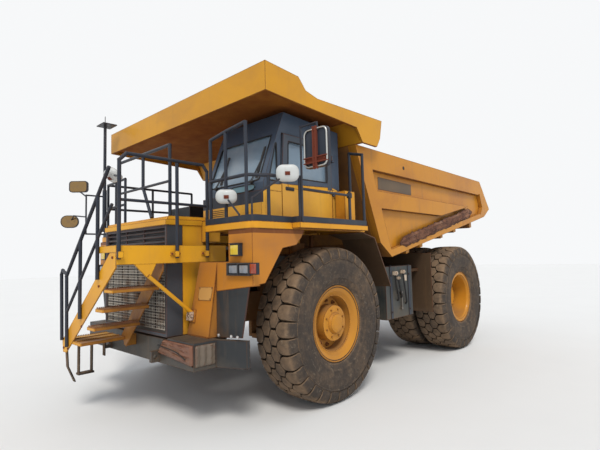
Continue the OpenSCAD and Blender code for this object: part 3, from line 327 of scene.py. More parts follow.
@dataclass(frozen=True)
class Finish:
    """A finish that is made into a material once, when a piece first asks for it."""

    name: str

    def material(self) -> bpy.types.Material:
        """Finds the finish's material, or makes it.

        Returns:
            The material.
        """
        found = bpy.data.materials.get(self.name)
        if found is not None:
            return found
        shader = Shader(self.name)
        self.paint(shader)
        return shader.material

    def paint(self, shader: Shader) -> None:
        """Fills the shader. Each finish has its own."""
        raise NotImplementedError


@dataclass(frozen=True)
class WornPaint(Finish):
    """Painted plate that carries dust, runs of grime, chips and rust, and painted shade on faces that point
    down and in places deep among other parts.

    Heights, places and reaches are metres, and scales are features per metre.
    """

    colour: Colour = srgb(226, 158, 44)
    faded: Colour = srgb(206, 150, 70)
    dust: Colour = srgb(158, 122, 84)
    rust: Colour = srgb(96, 52, 30)
    dusting: float = 0.5
    chipping: float = 0.4
    runs: float = 0.35
    gloss: float = 0.42
    low_dust: float = 1.6
    # The next three fields set painted shade: how far faces that point down, and places deep among other
    # parts, darken towards the shade colour.
    soot: float = 0.0
    shade: Colour = srgb(92, 58, 34)
    shelter: float = 0.55
    upper: Optional[Colour] = None
    split: float = 3.01
    split_ahead_of: Optional[float] = None
    worn_behind: Optional[float] = None
    worn_within: Optional[float] = None
    fine_round: float = 0.006
    wide_round: float = 0.018
    nook_reach: float = 0.35
    # How far off other parts may stand and still cast the painted shade.
    shelter_reach: float = 1.4
    cloud_scale: float = 0.8
    patch_scale: float = 4.0
    grain_scale: float = 38.0
    streak_scale: float = 3.2
    bare: Tuple[Colour, Colour] = (srgb(128, 92, 60), srgb(104, 84, 68))

    def two_tone(self, shader: Shader, colour: Sock) -> Sock:
        """Lays the upper colour over the paint above the split.

        Args:
            shader: The shader.
            colour: The paint below the split.

        Returns:
            The paint with both colours.
        """
        place = shader.place()
        share = shader.axis(place, "Z").step(self.split - SHARP_SPLIT, self.split + SHARP_SPLIT)
        if self.split_ahead_of is not None:
            edge = self.split_ahead_of
            share = share * shader.axis(place, "Y").step(edge + SHARP_SPLIT, edge - SHARP_SPLIT)
        return shader.mix(colour, self.upper, share)

    def paint(self, shader: Shader) -> None:
        """Fills the shader.

        Args:
            shader: The shader of the finish's material.
        """
        rounded = shader.rounded_normal(self.fine_round)
        edge = shader.edges(shader.rounded_normal(self.wide_round))
        nook = shader.nooks(self.nook_reach)
        cloud = shader.noise(self.cloud_scale, 6, warp=0.6)
        patch = shader.noise(self.patch_scale, 7)
        fine = shader.noise(self.grain_scale, 6)
        grime = shader.noise(self.streak_scale, 6, stretch=(3.0, 3.0, 0.28)).step(0.52, 0.78)
        height = shader.axis(shader.place(), "Z")
        low = height.step(self.low_dust, 0.3)

        settled = (nook * 0.75 + shader.upward() * 0.6 + low * 0.45 + (cloud - 0.5) * 1.3
                   + (patch - 0.5) * 0.7) * self.dusting
        settled = settled.step(0.08, 0.95)
        streaks = (grime * (0.4 + nook) * self.runs).clamped()
        wear = edge * 1.1 + nook * 0.15 + patch * 0.55 + fine * 0.5
        chips = (wear - (1.55 - self.chipping)).step(0.0, 0.12)

        colour = shader.mix(self.colour, self.faded, cloud.step(0.38, 0.66))
        if self.upper is not None:
            colour = self.two_tone(shader, colour)
        if self.worn_behind is not None:
            behind = shader.axis(shader.place(), "Y").step(self.worn_behind, self.worn_behind + SOFT_SPLIT)
            colour = shader.mix(colour, self.rust, (behind * (0.25 + patch * 1.1)).clamped())
        if self.worn_within is not None:
            reach = abs(shader.axis(shader.place(), "X"))
            inside = reach.step(self.worn_within + SOFT_SPLIT, self.worn_within - SOFT_SPLIT)
            bare = shader.mix(*self.bare, cloud.step(0.4, 0.6))
            colour = shader.mix(colour, bare, (inside * (0.1 + patch * 1.3)).clamped())
        colour = shader.mix(colour, shader.mix(self.dust, self.rust, patch.step(0.5, 0.8)), streaks)
        colour = shader.mix(colour, self.dust, settled)
        # Painted shade: faces that point down, and places deep among other parts, darken towards the shade
        # colour.
        below = shader.axis(shader.coordinate("Normal"), "Z").step(-0.3, -0.85)
        hidden = shader.nooks(self.shelter_reach).step(0.45, 0.95)
        shaded = (below * self.soot * (0.6 + patch * 0.6)
                  + hidden * self.shelter * (0.6 + patch * 0.8)).clamped()
        colour = shader.mix(colour, self.shade, shaded)
        colour = shader.mix(colour, self.rust, chips)
        dull = self.gloss + settled * 0.4 + shaded * 0.6 + chips * 0.3
        coat = 0.08 - settled * 0.2 - shaded * 0.3
        shader.set(Base_Color=colour, Roughness=dull.clamped(), Coat_Weight=coat.clamped(),
                   Specular_IOR_Level=0.2)
        shader.bump(fine * 0.4 + patch * 0.6 - chips * 0.8, 0.25, 0.004, rounded)


@dataclass(frozen=True)
class DustyRubber(Finish):
    """Tyre rubber with dust in its grooves and scuffs on its blocks, painted shade deep in the grooves and a
    painted highlight along the edges.
    """

    rubber: Colour = srgb(60, 53, 48)
    dust: Colour = srgb(142, 116, 90)
    dusting: float = 0.62
    scuffed: Colour = srgb(158, 142, 120)
    shut_in: Colour = srgb(22, 19, 18)
    rings: bool = True
    ring_rate: float = 160.0
    ring_height: float = 0.35

    def paint(self, shader: Shader) -> None:
        """Fills the shader.

        Args:
            shader: The shader of the finish's material.
        """
        rounded = shader.rounded_normal(0.008)
        edge = shader.edges(rounded)
        nook = shader.nooks(0.12)
        cloud = shader.noise(2.2, 6, warp=0.8)
        fine = shader.noise(60.0, 5)
        coarse = shader.noise(14.0, 6)
        wall = abs(shader.axis(shader.coordinate("Normal"), "X")).step(0.6, 0.95)
        layer = ((cloud - 0.45) * 1.5 + (coarse - 0.5) * 1.1 + edge * 0.5 + nook * 0.2) * self.dusting
        layer = (layer + 0.42 - wall * 0.3).step(0.0, 0.95)
        colour = shader.mix(self.rubber, self.dust, layer)
        # Lighter brown scuffs in patches, and along the edges a painted highlight in the same colour.
        scuff_and_edge_light = shader.noise(17.0, 4, warp=1.4).step(0.56, 0.70) * (0.25 + edge * 0.5)
        colour = shader.mix(colour, self.scuffed, scuff_and_edge_light.clamped())
        # Painted shade: deep in the grooves and nooks the rubber darkens to near black.
        colour = shader.mix(colour, self.shut_in, nook.step(0.35, 0.85) * 0.85)
        height = fine * 0.5 + coarse * 0.8
        if self.rings:
            height = height + self.moulded_rings(shader)
        shader.set(Base_Color=colour, Roughness=0.82 + layer * 0.14, Specular_IOR_Level=0.3)
        shader.bump(height, 0.4, 0.004, rounded)

    def moulded_rings(self, shader: Shader) -> Sock:
        """The fine rings that the mould leaves round a sidewall.

        Args:
            shader: The shader that gets them.

        Returns:
            Their height.
        """
        place = shader.place()
        across = shader.axis(place, "Y")
        up = shader.axis(place, "Z")
        radius = (across * across + up * up) ** 0.5
        return radius.math("SINE", radius * self.ring_rate) * self.ring_height


@dataclass(frozen=True)
class BareSteel(Finish):
    """Unpainted steel, from bright rod to rusty grating."""

    colour: Colour = srgb(128, 122, 116)
    rust: Colour = srgb(112, 70, 44)
    rusting: float = 0.3
    roughness: float = 0.38

    def paint(self, shader: Shader) -> None:
        """Fills the shader.

        Args:
            shader: The shader of the finish's material.
        """
        rounded = shader.rounded_normal(0.004)
        cloud = shader.noise(5.0, 7)
        fine = shader.noise(70.0, 6)
        nook = shader.nooks(0.1)
        rust = (cloud * 0.9 + fine * 0.4 + nook * 0.5 - (1.25 - self.rusting)).step(0.0, 0.3)
        shader.set(Base_Color=shader.mix(self.colour, self.rust, rust), Metallic=(1.0 - rust).clamped(),
                   Roughness=(self.roughness + rust * 0.45 + fine * 0.1).clamped())
        shader.bump(fine + rust, 0.25, 0.002, rounded)


@dataclass(frozen=True)
class WireCloth(Finish):
    """Painted wire that has worn to grey and brown."""

    colour: Colour = srgb(196, 188, 174)

    def paint(self, shader: Shader) -> None:
        """Fills the shader.

        Args:
            shader: The shader of the finish's material.
        """
        cloud = shader.noise(3.0, 6)
        colour = shader.mix(self.colour, srgb(122, 90, 64), cloud.step(0.45, 0.7))
        shader.set(Base_Color=colour, Roughness=0.7)


@dataclass(frozen=True)
class WindowGlass(Finish):
    """Tinted glass with a film of dust towards its edges."""

    tint: Colour = srgb(132, 154, 172)
    clear: float = 0.7

    def paint(self, shader: Shader) -> None:
        """Fills the shader.

        Args:
            shader: The shader of the finish's material.
        """
        film = shader.noise(1.6, 6).step(0.4, 0.8)
        shader.set(Base_Color=shader.mix(self.tint, srgb(168, 160, 146), film * 0.35),
                   Roughness=0.06 + film * 0.25, Alpha=(self.clear + film * 0.2).clamped(),
                   IOR=1.45, Specular_IOR_Level=0.7)


@dataclass(frozen=True)
class LampGlass(Finish):
    """A moulded lens in clear or coloured plastic."""

    colour: Colour = srgb(215, 215, 205)
    flutes: float = 90.0

    def paint(self, shader: Shader) -> None:
        """Fills the shader.

        Args:
            shader: The shader of the finish's material.
        """
        across = shader.axis(shader.place(), "X") * self.flutes
        film = shader.noise(9.0, 5).step(0.45, 0.75)
        shader.set(Base_Color=shader.mix(self.colour, srgb(150, 128, 100), film * 0.35),
                   Roughness=0.16 + film * 0.3, Coat_Weight=0.6)
        shader.bump(across.math("SINE", across), 0.35, 0.003)


@dataclass(frozen=True)
class Moulded(Finish):
    """Grained plastic, vinyl or rubber trim."""

    colour: Colour = srgb(44, 44, 46)
    grain: float = 220.0
    roughness: float = 0.62

    def paint(self, shader: Shader) -> None:
        """Fills the shader.

        Args:
            shader: The shader of the finish's material.
        """
        rounded = shader.rounded_normal(0.006)
        cloud = shader.noise(2.5, 5)
        grain = shader.noise(self.grain, 3)
        colour = shader.mix(self.colour, srgb(120, 100, 80), cloud.step(0.5, 0.85) * 0.35)
        shader.set(Base_Color=colour, Roughness=self.roughness + cloud * 0.15)
        shader.bump(grain, 0.3, 0.001, rounded)


@dataclass(frozen=True)
class MirrorFace(Finish):
    """Silvered glass with a little dust."""

    colour: Colour = srgb(225, 228, 230)
    film: float = 0.25

    def paint(self, shader: Shader) -> None:
        """Fills the shader.

        Args:
            shader: The shader of the finish's material.
        """
        film = shader.noise(14.0, 6).step(0.4, 0.7)
        shader.set(Base_Color=shader.mix(self.colour, srgb(120, 96, 66), film * self.film),
                   Metallic=(1.0 - film * self.film).clamped(), Roughness=0.06 + film * 0.3)


@dataclass(frozen=True)
class PlainGround(Finish):
    """The pale floor, which the camera sees at its own colour."""

    colour: Colour = (0.80, 0.80, 0.79)

    def paint(self, shader: Shader) -> None:
        """Fills the shader."""
        grain = shader.noise(0.6, 3)
        shader.set(Base_Color=shader.mix(self.colour, (0.76, 0.76, 0.75), grain), Roughness=0.9)


YELLOW = WornPaint("yellow_paint", srgb(192, 124, 40), srgb(172, 112, 52), dust=srgb(160, 114, 70),
                   dusting=0.8, chipping=0.5, runs=0.8, low_dust=2.2, soot=0.85, shade=srgb(84, 48, 24),
                   shelter=0.8, upper=srgb(116, 66, 28), split=2.33)
RIGHT_DECK_YELLOW = WornPaint("right_deck_paint", srgb(220, 152, 48), srgb(202, 136, 54),
                              dust=srgb(120, 96, 74), dusting=0.4, runs=0.4, low_dust=1.2, soot=0.9,
                              upper=srgb(46, 52, 60), split=2.472, shelter=0.2)
# Below the split, level with the deck slab's underside, the colour is a dark brown that is painted shade;
# above it the deck is yellow.
DECK_YELLOW_OVER_SHADE = WornPaint("deck_paint", srgb(108, 70, 38), srgb(88, 60, 38), dust=srgb(136, 94, 56),
                        upper=srgb(218, 152, 38), split=2.381, dusting=0.45, chipping=0.62, runs=0.5,
                        low_dust=1.2, soot=0.9, shelter=0.8)
BRIGHT_YELLOW = WornPaint("bright_yellow_paint", srgb(226, 164, 34), srgb(214, 154, 48), dusting=0.34,
                          runs=0.4, low_dust=1.5, shelter=0.3)
STAIR_YELLOW = WornPaint("stair_paint", srgb(228, 164, 36), srgb(214, 150, 42), rust=srgb(132, 84, 38),
                         dusting=0.3, chipping=0.55, runs=0.6, low_dust=1.2, shelter=0.2,
                         worn_behind=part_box("stair")[0].y + 0.016)
DECK_PLATE = WornPaint("platform_paint", srgb(210, 152, 40), srgb(192, 138, 50), rust=srgb(128, 86, 44),
                       dusting=0.6, chipping=0.6, runs=0.5, low_dust=1.1, shelter=0.0)
NOSE_SLATE = WornPaint("nose_paint", srgb(64, 69, 76), srgb(74, 77, 82), dusting=0.3, chipping=0.28,
                       runs=0.2, low_dust=1.8, gloss=0.4, shade=srgb(30, 30, 32), shelter=0.3)
SKIRT_YELLOW = WornPaint("skirt_paint", srgb(228, 172, 60), srgb(216, 160, 66), dusting=0.3, chipping=0.3,
                         upper=srgb(48, 54, 64), split=2.742, split_ahead_of=FRONT_AXLE.y - 1.19,
                         shelter=0.1)
DOOR_YELLOW = WornPaint("door_paint", srgb(228, 172, 60), srgb(216, 160, 66), dusting=0.26, chipping=0.3,
                        upper=srgb(70, 78, 88), split=3.012, shelter=0.1)
CANOPY_YELLOW = WornPaint("canopy_paint", srgb(206, 146, 34), srgb(190, 134, 44), dust=srgb(158, 116, 70),
                          dusting=0.34, runs=0.5, low_dust=0.5, soot=1.0, shade=srgb(120, 66, 20),
                          shelter=0.7)
BED_YELLOW = WornPaint("bed_paint", srgb(194, 130, 34), srgb(178, 116, 40), dust=srgb(146, 104, 62),
                       dusting=0.45, chipping=0.55, runs=0.8, low_dust=2.7, soot=0.7, shelter=0.6,
                       worn_within=1.86)
UNDER_YELLOW = WornPaint("chassis_paint", srgb(150, 98, 44), srgb(124, 88, 54), dusting=0.85, runs=0.7,
                         low_dust=3.0, soot=0.4, shelter=0.8)
SLATE = WornPaint("slate_paint", srgb(40, 47, 58), srgb(52, 57, 66), dusting=0.26, rust=srgb(74, 56, 46),
                  chipping=0.12, runs=0.2, low_dust=1.8, gloss=0.4, shade=srgb(20, 20, 22))
CAB_SLATE = WornPaint("cab_slate_paint", srgb(64, 76, 92), srgb(74, 86, 102), dusting=0.14,
                      rust=srgb(70, 56, 50), chipping=0.12, runs=0.15, low_dust=1.0, gloss=0.32,
                      shade=srgb(26, 28, 32), shelter=0.8, soot=0.5)
BUMPER_GREY = WornPaint("bumper_paint", srgb(50, 52, 54), srgb(76, 72, 66), dust=srgb(116, 98, 78),
                        rust=srgb(84, 60, 44), dusting=0.55, runs=0.7, low_dust=1.4, shade=srgb(36, 31, 28))
GUARD_GREY = WornPaint("guard_paint", srgb(82, 64, 48), srgb(90, 72, 54), dust=srgb(118, 90, 62),
                       dusting=0.75, runs=0.9, low_dust=2.2, shade=srgb(44, 32, 24), upper=srgb(50, 53, 55),
                       split=0.0, split_ahead_of=FRONT_AXLE.y - 0.5)
TANK_SLATE = WornPaint("tank_paint", srgb(56, 60, 60), srgb(78, 74, 66), dust=srgb(118, 96, 72),
                       dusting=0.75, chipping=0.6, runs=0.9, low_dust=1.8, shade=srgb(30, 26, 24))
TORN = WornPaint("torn_plate_paint", srgb(128, 88, 70), srgb(100, 74, 62), dust=srgb(160, 126, 96),
                 rust=srgb(92, 46, 30), dusting=0.6, chipping=0.8, runs=0.6, shelter=0.2)
FOLDED = WornPaint("folded_plate_paint", srgb(112, 100, 88), srgb(96, 90, 82), dust=srgb(150, 124, 96),
                   dusting=0.6, chipping=0.6, runs=0.6, shelter=0.2)
SHELL_WHITE = WornPaint("mirror_shell_paint", srgb(206, 208, 206), srgb(186, 188, 184), dusting=0.25,
                        chipping=0.1, runs=0.4, low_dust=0.5, shelter=0.0)
LEG_LABEL = WornPaint("leg_label_paint", srgb(200, 150, 84), srgb(186, 138, 80), chipping=0.2, runs=0.4,
                      low_dust=0.5, shelter=0.0)
PALE_STEEL = WornPaint("pale_steel", srgb(196, 178, 158), srgb(168, 146, 124), chipping=0.1, runs=0.2,
                       low_dust=0.5, shelter=0.0)
LABEL = WornPaint("blank_label", srgb(92, 78, 62), srgb(104, 86, 66), dusting=0.3, chipping=0.2, runs=0.3,
                  low_dust=0.5, shelter=0.0)
MUD = WornPaint("caked_mud", srgb(108, 72, 54), srgb(148, 104, 76), dust=srgb(188, 160, 136),
                rust=srgb(66, 42, 34), dusting=1.25, chipping=1.05, runs=0.2, gloss=0.85, shelter=0.0)
RIM_ORANGE = WornPaint("rim_paint", srgb(196, 132, 36), srgb(182, 124, 44), dust=srgb(152, 110, 64),
                       dusting=0.7, chipping=0.35, runs=0.3, low_dust=1.0, shelter=0.15)
TREAD = DustyRubber("tyre_rubber")
FLAP = DustyRubber("flap_rubber", rubber=srgb(38, 36, 36), dusting=0.4, rings=False)
STEEL = BareSteel("worn_steel")
RUSTY = BareSteel("rusty_grating", srgb(150, 120, 84), rust=srgb(136, 84, 50), rusting=0.75, roughness=0.6)
BRACKET = BareSteel("rusty_bracket", srgb(120, 60, 40), rust=srgb(112, 52, 34), rusting=0.95, roughness=0.7)
WORN_TUBE = BareSteel("worn_tube", srgb(190, 190, 186), rust=srgb(128, 92, 66), rusting=0.32,
                      roughness=0.35)
ROD = BareSteel("bright_rod", srgb(190, 192, 194), rusting=0.02, roughness=0.16)
IRON = BareSteel("oily_iron", srgb(84, 80, 76), rusting=0.35, roughness=0.5)
WIRE = WireCloth("guard_wire")
GLASS = WindowGlass("window_glass")
CLEAR_LENS = LampGlass("clear_lens", srgb(128, 134, 142))
AMBER_LENS = LampGlass("amber_lens", srgb(214, 184, 60))
RED_LENS = LampGlass("turn_lens", srgb(150, 52, 26))
TRIM = Moulded("cab_trim")
SEAL = Moulded("window_seal", srgb(24, 24, 26))
MIRROR = MirrorFace("mirror_face")
DUSTY_MIRROR = MirrorFace("dusty_mirror_face", srgb(150, 122, 82), film=0.8)
LOWER_PANE = Moulded("lower_pane", srgb(104, 140, 152), grain=30.0, roughness=0.25)

SOLID_FINISHES: Dict[Finish, Sequence[str]] = {
    BRIGHT_YELLOW: ("hood", "front_landing"),
    STAIR_YELLOW: ("stair",),
    SKIRT_YELLOW: ("cab_skirt",),
    DOOR_YELLOW: ("cab_door",),
    CANOPY_YELLOW: ("canopy",),
    YELLOW: ("fenders", "hoist_barrels"),
    DECK_YELLOW_OVER_SHADE: ("cab_deck",),
    RIGHT_DECK_YELLOW: ("right_deck",),
    BED_YELLOW: ("bed_tub",),
    UNDER_YELLOW: ("frame", "suspension_struts", "rear_axle", "knuckle_left", "knuckle_right"),
    NOSE_SLATE: ("radiator_housing", "louvre_grille"),
    SLATE: ("landing_rails", "stair_rails", "cab_rails", "side_bar",
            "mirrors", "mast", "tie_rod", "lamps"),
    CAB_SLATE: ("cab_shell",),
    BUMPER_GREY: ("bumper",),
    GUARD_GREY: ("mudguards",),
    TANK_SLATE: ("tanks",),
    RIM_ORANGE: ("rim_front_left", "rim_front_right", "rims_rear_left", "rims_rear_right"),
    TREAD: ("tyre_front_left", "tyre_front_right", "tyres_rear_left", "tyres_rear_right"),
    FLAP: ("hanging_steps",),
    IRON: ("engine", "radiator_mesh"),
    GLASS: ("cab_glass", "door_glass"),
    TRIM: ("operator_chair", "dash_console"),
    ROD: ("hoist_stages", "hoist_rods"),
}


class Shape:
    """The points and faces of one piece, gathered about an origin in the row frame."""

    def __init__(self, name: str, origin: Vector = Vector((0, 0, 0))) -> None:
        """Starts an empty shape.

        Args:
            name: The piece's name.
            origin: The origin of the piece's own frame.
        """
        self.name = name
        self.origin = origin
        self.points: List[Vector] = []
        self.faces: List[Tuple[int, ...]] = []

    def add(self, points: Iterable[Vector], faces: Iterable[Sequence[int]]) -> None:
        """Adds points and the faces between them.

        Args:
            points: The new points.
            faces: Faces as indices into those points.
        """
        start = len(self.points)
        self.points += [Vector(point) for point in points]
        self.faces += [tuple(index + start for index in face) for face in faces]

    def loft(self, rings: Sequence[Sequence[Vector]], closed: bool = True, caps: bool = True) -> None:
        """Skins a row of rings that all have the same number of points.

        Args:
            rings: The rings in order.
            closed: Whether each ring closes on itself.
            caps: Whether the first and last ring are filled.
        """
        count = len(rings[0])
        last = count if closed else count - 1
        faces: List[Sequence[int]] = []
        for row in range(len(rings) - 1):
            for i in range(last):
                a, b = row * count + i, row * count + (i + 1) % count
                faces.append((a, b, b + count, a + count))
        if caps:
            faces.append(tuple(reversed(range(count))))
            faces.append(tuple(range((len(rings) - 1) * count, len(rings) * count)))
        self.add([point for ring in rings for point in ring], faces)

    def block(self, low: Sequence[float], high: Sequence[float]) -> None:
        """A box from its lowest to its highest corner."""
        corners = [(low[0], low[1]), (high[0], low[1]), (high[0], high[1]), (low[0], high[1])]
        self.loft([[Vector((x, y, z)) for x, y in corners] for z in (low[2], high[2])])

    def rod(self, start: Vector, end: Vector, radius: float, sides: int = 12) -> None:
        """A round bar between two points.

        Args:
            start: The first end.
            end: The other end.
            radius: The bar's radius.
            sides: Sides of the bar.
        """
        across = (end - start).orthogonal().normalized()
        other = (end - start).normalized().cross(across)
        self.loft([circle(centre, across, other, radius, sides) for centre in (start, end)])

    def tube(self, route: Sequence[Vector], radius: float, bend: float = 0.0, sides: int = 12) -> None:
        """A tube along a route whose corners are rounded.

        Args:
            route: The corners of the route.
            radius: The tube's radius.
            bend: How far from each corner its bend starts.
            sides: Sides of the tube.
        """
        path = rounded_route(route, bend)
        ahead = headings(path)
        across = ahead[0].orthogonal().normalized()
        rings = []
        for centre, along in zip(path, ahead):
            across = (across - along * across.dot(along)).normalized()
            rings.append(circle(centre, across, along.cross(across), radius, sides))
        self.loft(rings)

    def ribbon(self, route: Sequence[Vector], height: float, thick: float) -> None:
        """An upright strip along a level route, on its left side.

        Args:
            route: The corners of the route.
            height: The strip's height.
            thick: Its thickness.
        """
        rise = UPWARD * height
        rings = []
        for point, along in zip(route, headings(route)):
            across = Vector((-along.y, along.x, 0)) * thick
            rings.append([point, point + across, point + across + rise, point + rise])
        self.loft(rings)

    def revolve(self, profile: Sequence[Pair], centre: Vector, steps: int = 64,
                closed: bool = False) -> None:
        """Turns a profile of (x, radius) points round a centre's X axis.

        Args:
            profile: The profile's points.
            centre: A point on the axis, where x is 0.
            steps: Steps round the axis.
            closed: Whether the profile closes on itself.
        """
        rings = [[polar(x, radius, 2 * math.pi * i / steps) + centre for x, radius in profile]
                 for i in range(steps)]
        self.loft(rings + rings[:1], closed=closed, caps=False)

    def nut(self, place: Vector, along: Vector, radius: float, height: float, sides: int = 6) -> None:
        """A bolt head or nut with a chamfered top.

        Args:
            place: The middle of its foot.
            along: The way it points.
            radius: Its radius over the corners.
            height: Its height.
            sides: Its sides.
        """
        along = along.normalized()
        across = along.orthogonal().normalized()
        other = along.cross(across)
        self.loft([circle(place + along * height * rise, across, other, radius * share, sides)
                   for rise, share in ((0.0, 1.0), (0.8, 1.0), (1.0, 0.82))])

    def made(self, finish: Finish, slot: str, bevel: float = 0.0, body: str = "chassis") -> bpy.types.Object:
        """Makes the object, dresses it and lets it ride on a body.

        Args:
            finish: Its finish.
            slot: The record's material slot. Not used.
            bevel: Width of a bevel on its edges.
            body: The CAD body that carries it.

        Returns:
            The object.
        """
        mesh = bpy.data.meshes.new(self.name)
        mesh.from_pydata([point - self.origin for point in self.points], [], self.faces)
        mesh.validate()
        piece = bpy.data.objects.new(self.name, mesh)
        piece.location = self.origin
        bpy.context.scene.collection.objects.link(piece)
        mesh.shade_smooth()
        mesh.set_sharp_from_angle(angle=math.radians(SHARP_ANGLE))
        mesh.materials.append(finish.material())
        if bevel > 0:
            modifier = piece.modifiers.new("soft_edges", "BEVEL")
            modifier.width = bevel
            modifier.segments = 2
            modifier.limit_method = "ANGLE"
        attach(piece, body)
        log.info("%s rides on %s: %d points, %d faces", self.name, body, len(self.points), len(self.faces))
        return piece


def polar(x: float, radius: float, angle: float) -> Vector:
    """A point on a circle round the X axis, from the top towards +Y."""
    return Vector((x, radius * math.sin(angle), radius * math.cos(angle)))


def circle(centre: Vector, across: Vector, other: Vector, radius: float, sides: int) -> List[Vector]:
    """Points round a circle in the plane of two unit vectors that are square to each other."""
    angles = [2 * math.pi * i / sides for i in range(sides)]
    return [centre + (across * math.cos(angle) + other * math.sin(angle)) * radius for angle in angles]


def headings(route: Sequence[Vector]) -> List[Vector]:
    """The way a route runs at each of its points, as unit vectors."""
    legs = [(after - before).normalized() for before, after in zip(route, route[1:])]
    return [legs[0]] + [(one + two).normalized() for one, two in zip(legs, legs[1:])] + [legs[-1]]


def rounded_route(route: Sequence[Vector], bend: float, steps: int = 5) -> List[Vector]:
    """Rounds the corners of a route.

    Args:
        route: The corners.
        bend: How far from a corner its bend starts.
        steps: Steps in each bend.

    Returns:
        The rounded route.
    """
    if bend <= 0 or len(route) < 3:
        return list(route)
    path = [route[0]]
    for before, corner, after in zip(route, route[1:], route[2:]):
        start = corner + (before - corner).normalized() * min(bend, (before - corner).length / 2)
        end = corner + (after - corner).normalized() * min(bend, (after - corner).length / 2)
        for i in range(steps + 1):
            share = i / steps
            path.append(start.lerp(corner, share).lerp(corner.lerp(end, share), share))
    path.append(route[-1])
    return path


@dataclass
class Tyre:
    """The off-road tyre: carcass, two rows of centre blocks and lugs that run over the shoulders.

    The wall is a row of (x, radius). A lug's path is (x, drop below the tread, share of the full
    width, depth), and a block's outline is (x, share of half its length).
    """

    radius: float = 1.085
    groove: float = 0.058
    pitches: int = 31
    gap: float = 0.030
    bead_radius: float = 0.497
    bead_half: float = 0.232
    rim_radius: float = 0.538
    bevel: float = 0.007
    crown: float = 0.010
    tread_half: float = 0.252
    wall: Outline = ((0.289, 0.968), (0.309, 0.925), (0.3165, 0.905), (0.3195, 0.900), (0.3200, 0.886),
                     (0.3165, 0.880), (0.3225, 0.850), (0.3250, 0.800), (0.3235, 0.750), (0.3160, 0.700),
                     (0.3080, 0.668), (0.3110, 0.655), (0.3095, 0.640), (0.2990, 0.628), (0.2860, 0.600),
                     (0.2740, 0.575), (0.2640, 0.552), (0.2480, 0.541))
    lug: Tuple[Tuple[float, ...], ...] = (
        (0.122, 0.002, 0.34, 0.058), (0.134, 0.003, 0.62, 0.058), (0.156, 0.004, 0.86, 0.058),
        (0.185, 0.006, 0.98, 0.058), (0.225, 0.010, 1.0, 0.058), (0.262, 0.018, 1.0, 0.058),
        (0.290, 0.038, 1.0, 0.052), (0.309, 0.072, 0.97, 0.042), (0.3195, 0.112, 0.93, 0.030),
        (0.3245, 0.150, 0.88, 0.016), (0.3215, 0.178, 0.80, 0.004))
    block: Outline = ((0.150, 0.0), (0.124, 0.56), (0.098, 1), (0.060, 1), (0.022, 1), (0.004, 0.5),
                      (-0.012, 0.0), (0.004, -0.5), (0.022, -1), (0.060, -1), (0.098, -1), (0.124, -0.56))
    block_middle: float = 0.066

    @property
    def pitch(self) -> float:
        """Length of one pitch round the tread."""
        return 2 * math.pi * self.radius / self.pitches

    def tread_radius(self, x: float) -> float:
        """Radius of the tread's top at a distance from the middle."""
        return self.radius - self.crown * (x / self.tread_half) ** 2

    def carcass(self, shape: Shape, centre: Vector) -> None:
        """The body of the tyre under its blocks.

        Args:
            shape: The shape that gets it.
            centre: The tyre's centre.
        """
        base = self.tread_radius(0) - self.groove
        half = [(0.0, base), (self.tread_half * 0.6, base - 0.004), (self.tread_half, base - 0.014),
                *self.wall, (self.bead_half, self.rim_radius), (self.bead_half, self.bead_radius)]
        mirrored = [(-x, radius) for x, radius in reversed(half[1:])]
        shape.revolve(mirrored + half, centre, self.pitches * 4)

    def shoulder_lug(self, shape: Shape, centre: Vector, side: int, angle: float) -> None:
        """One lug, from beside the centre blocks over the shoulder and down the sidewall.

        Args:
            shape: The shape that gets it.
            centre: The tyre's centre.
            side: The sign of X.
            angle: Where it stands round the tyre.
        """
        full = (self.pitch - self.gap) / 2
        path = [(x, self.radius - drop, width, min(depth, self.groove)) for x, drop, width, depth in self.lug]
        rings = []
        for i, (x, radius, width, depth) in enumerate(path):
            before, after = path[max(i - 1, 0)], path[min(i + 1, len(path) - 1)]
            along = Vector((after[0] - before[0], after[1] - before[1]))
            inward = Vector((-along.y, along.x)).normalized()
            inward = inward if inward.y < 0 or inward.x < 0 else -inward
            half = full * width
            soft = min(self.bevel, depth * 0.7)
            ring = []
            for reach, sink in ((-half * 1.03, depth), (-half, soft), (-half + self.bevel, 0.0),
                                (0.0, -0.0015), (half - self.bevel, 0.0), (half, soft), (half * 1.03, depth)):
                at = Vector((x, radius)) + inward * sink
                ring.append(polar(side * at.x, at.y, angle + reach / radius) + centre)
            rings.append(ring if side > 0 else ring[::-1])
        shape.loft(rings, closed=False)

    def centre_block(self, shape: Shape, centre: Vector, side: int, angle: float) -> None:
        """One six-sided block beside the tread's middle.

        Args:
            shape: The shape that gets it.
            centre: The tyre's centre.
            side: The sign of X.
            angle: Where it stands round the tyre.
        """
        half = (self.pitch - self.gap) / 2
        middle = self.block_middle
        rings = []
        for sink, share in ((self.groove, 1.04), (self.bevel, 1.0), (0.0, 0.92)):
            ring = []
            for x, reach in self.block:
                x = middle + (x - middle) * share
                turn = angle + reach * half * share / self.radius
                ring.append(polar(side * x, self.tread_radius(x) - sink, turn) + centre)
            rings.append(ring if side > 0 else ring[::-1])
        shape.loft(rings, caps=False)
        count = len(self.block)
        crest = polar(side * middle, self.tread_radius(middle), angle) + centre
        shape.add(rings[-1] + [crest], [(i, (i + 1) % count, count) for i in range(count)])

    def build(self, shape: Shape, centre: Vector) -> None:
        """The whole tyre.

        Args:
            shape: The shape that gets it.
            centre: The tyre's centre.
        """
        self.carcass(shape, centre)
        for side in (1, -1):
            for i in range(self.pitches):
                angle = 2 * math.pi * (i + (0.5 if side > 0 else 0.0)) / self.pitches
                self.shoulder_lug(shape, centre, side, angle)
                self.centre_block(shape, centre, side, angle + math.pi / self.pitches)


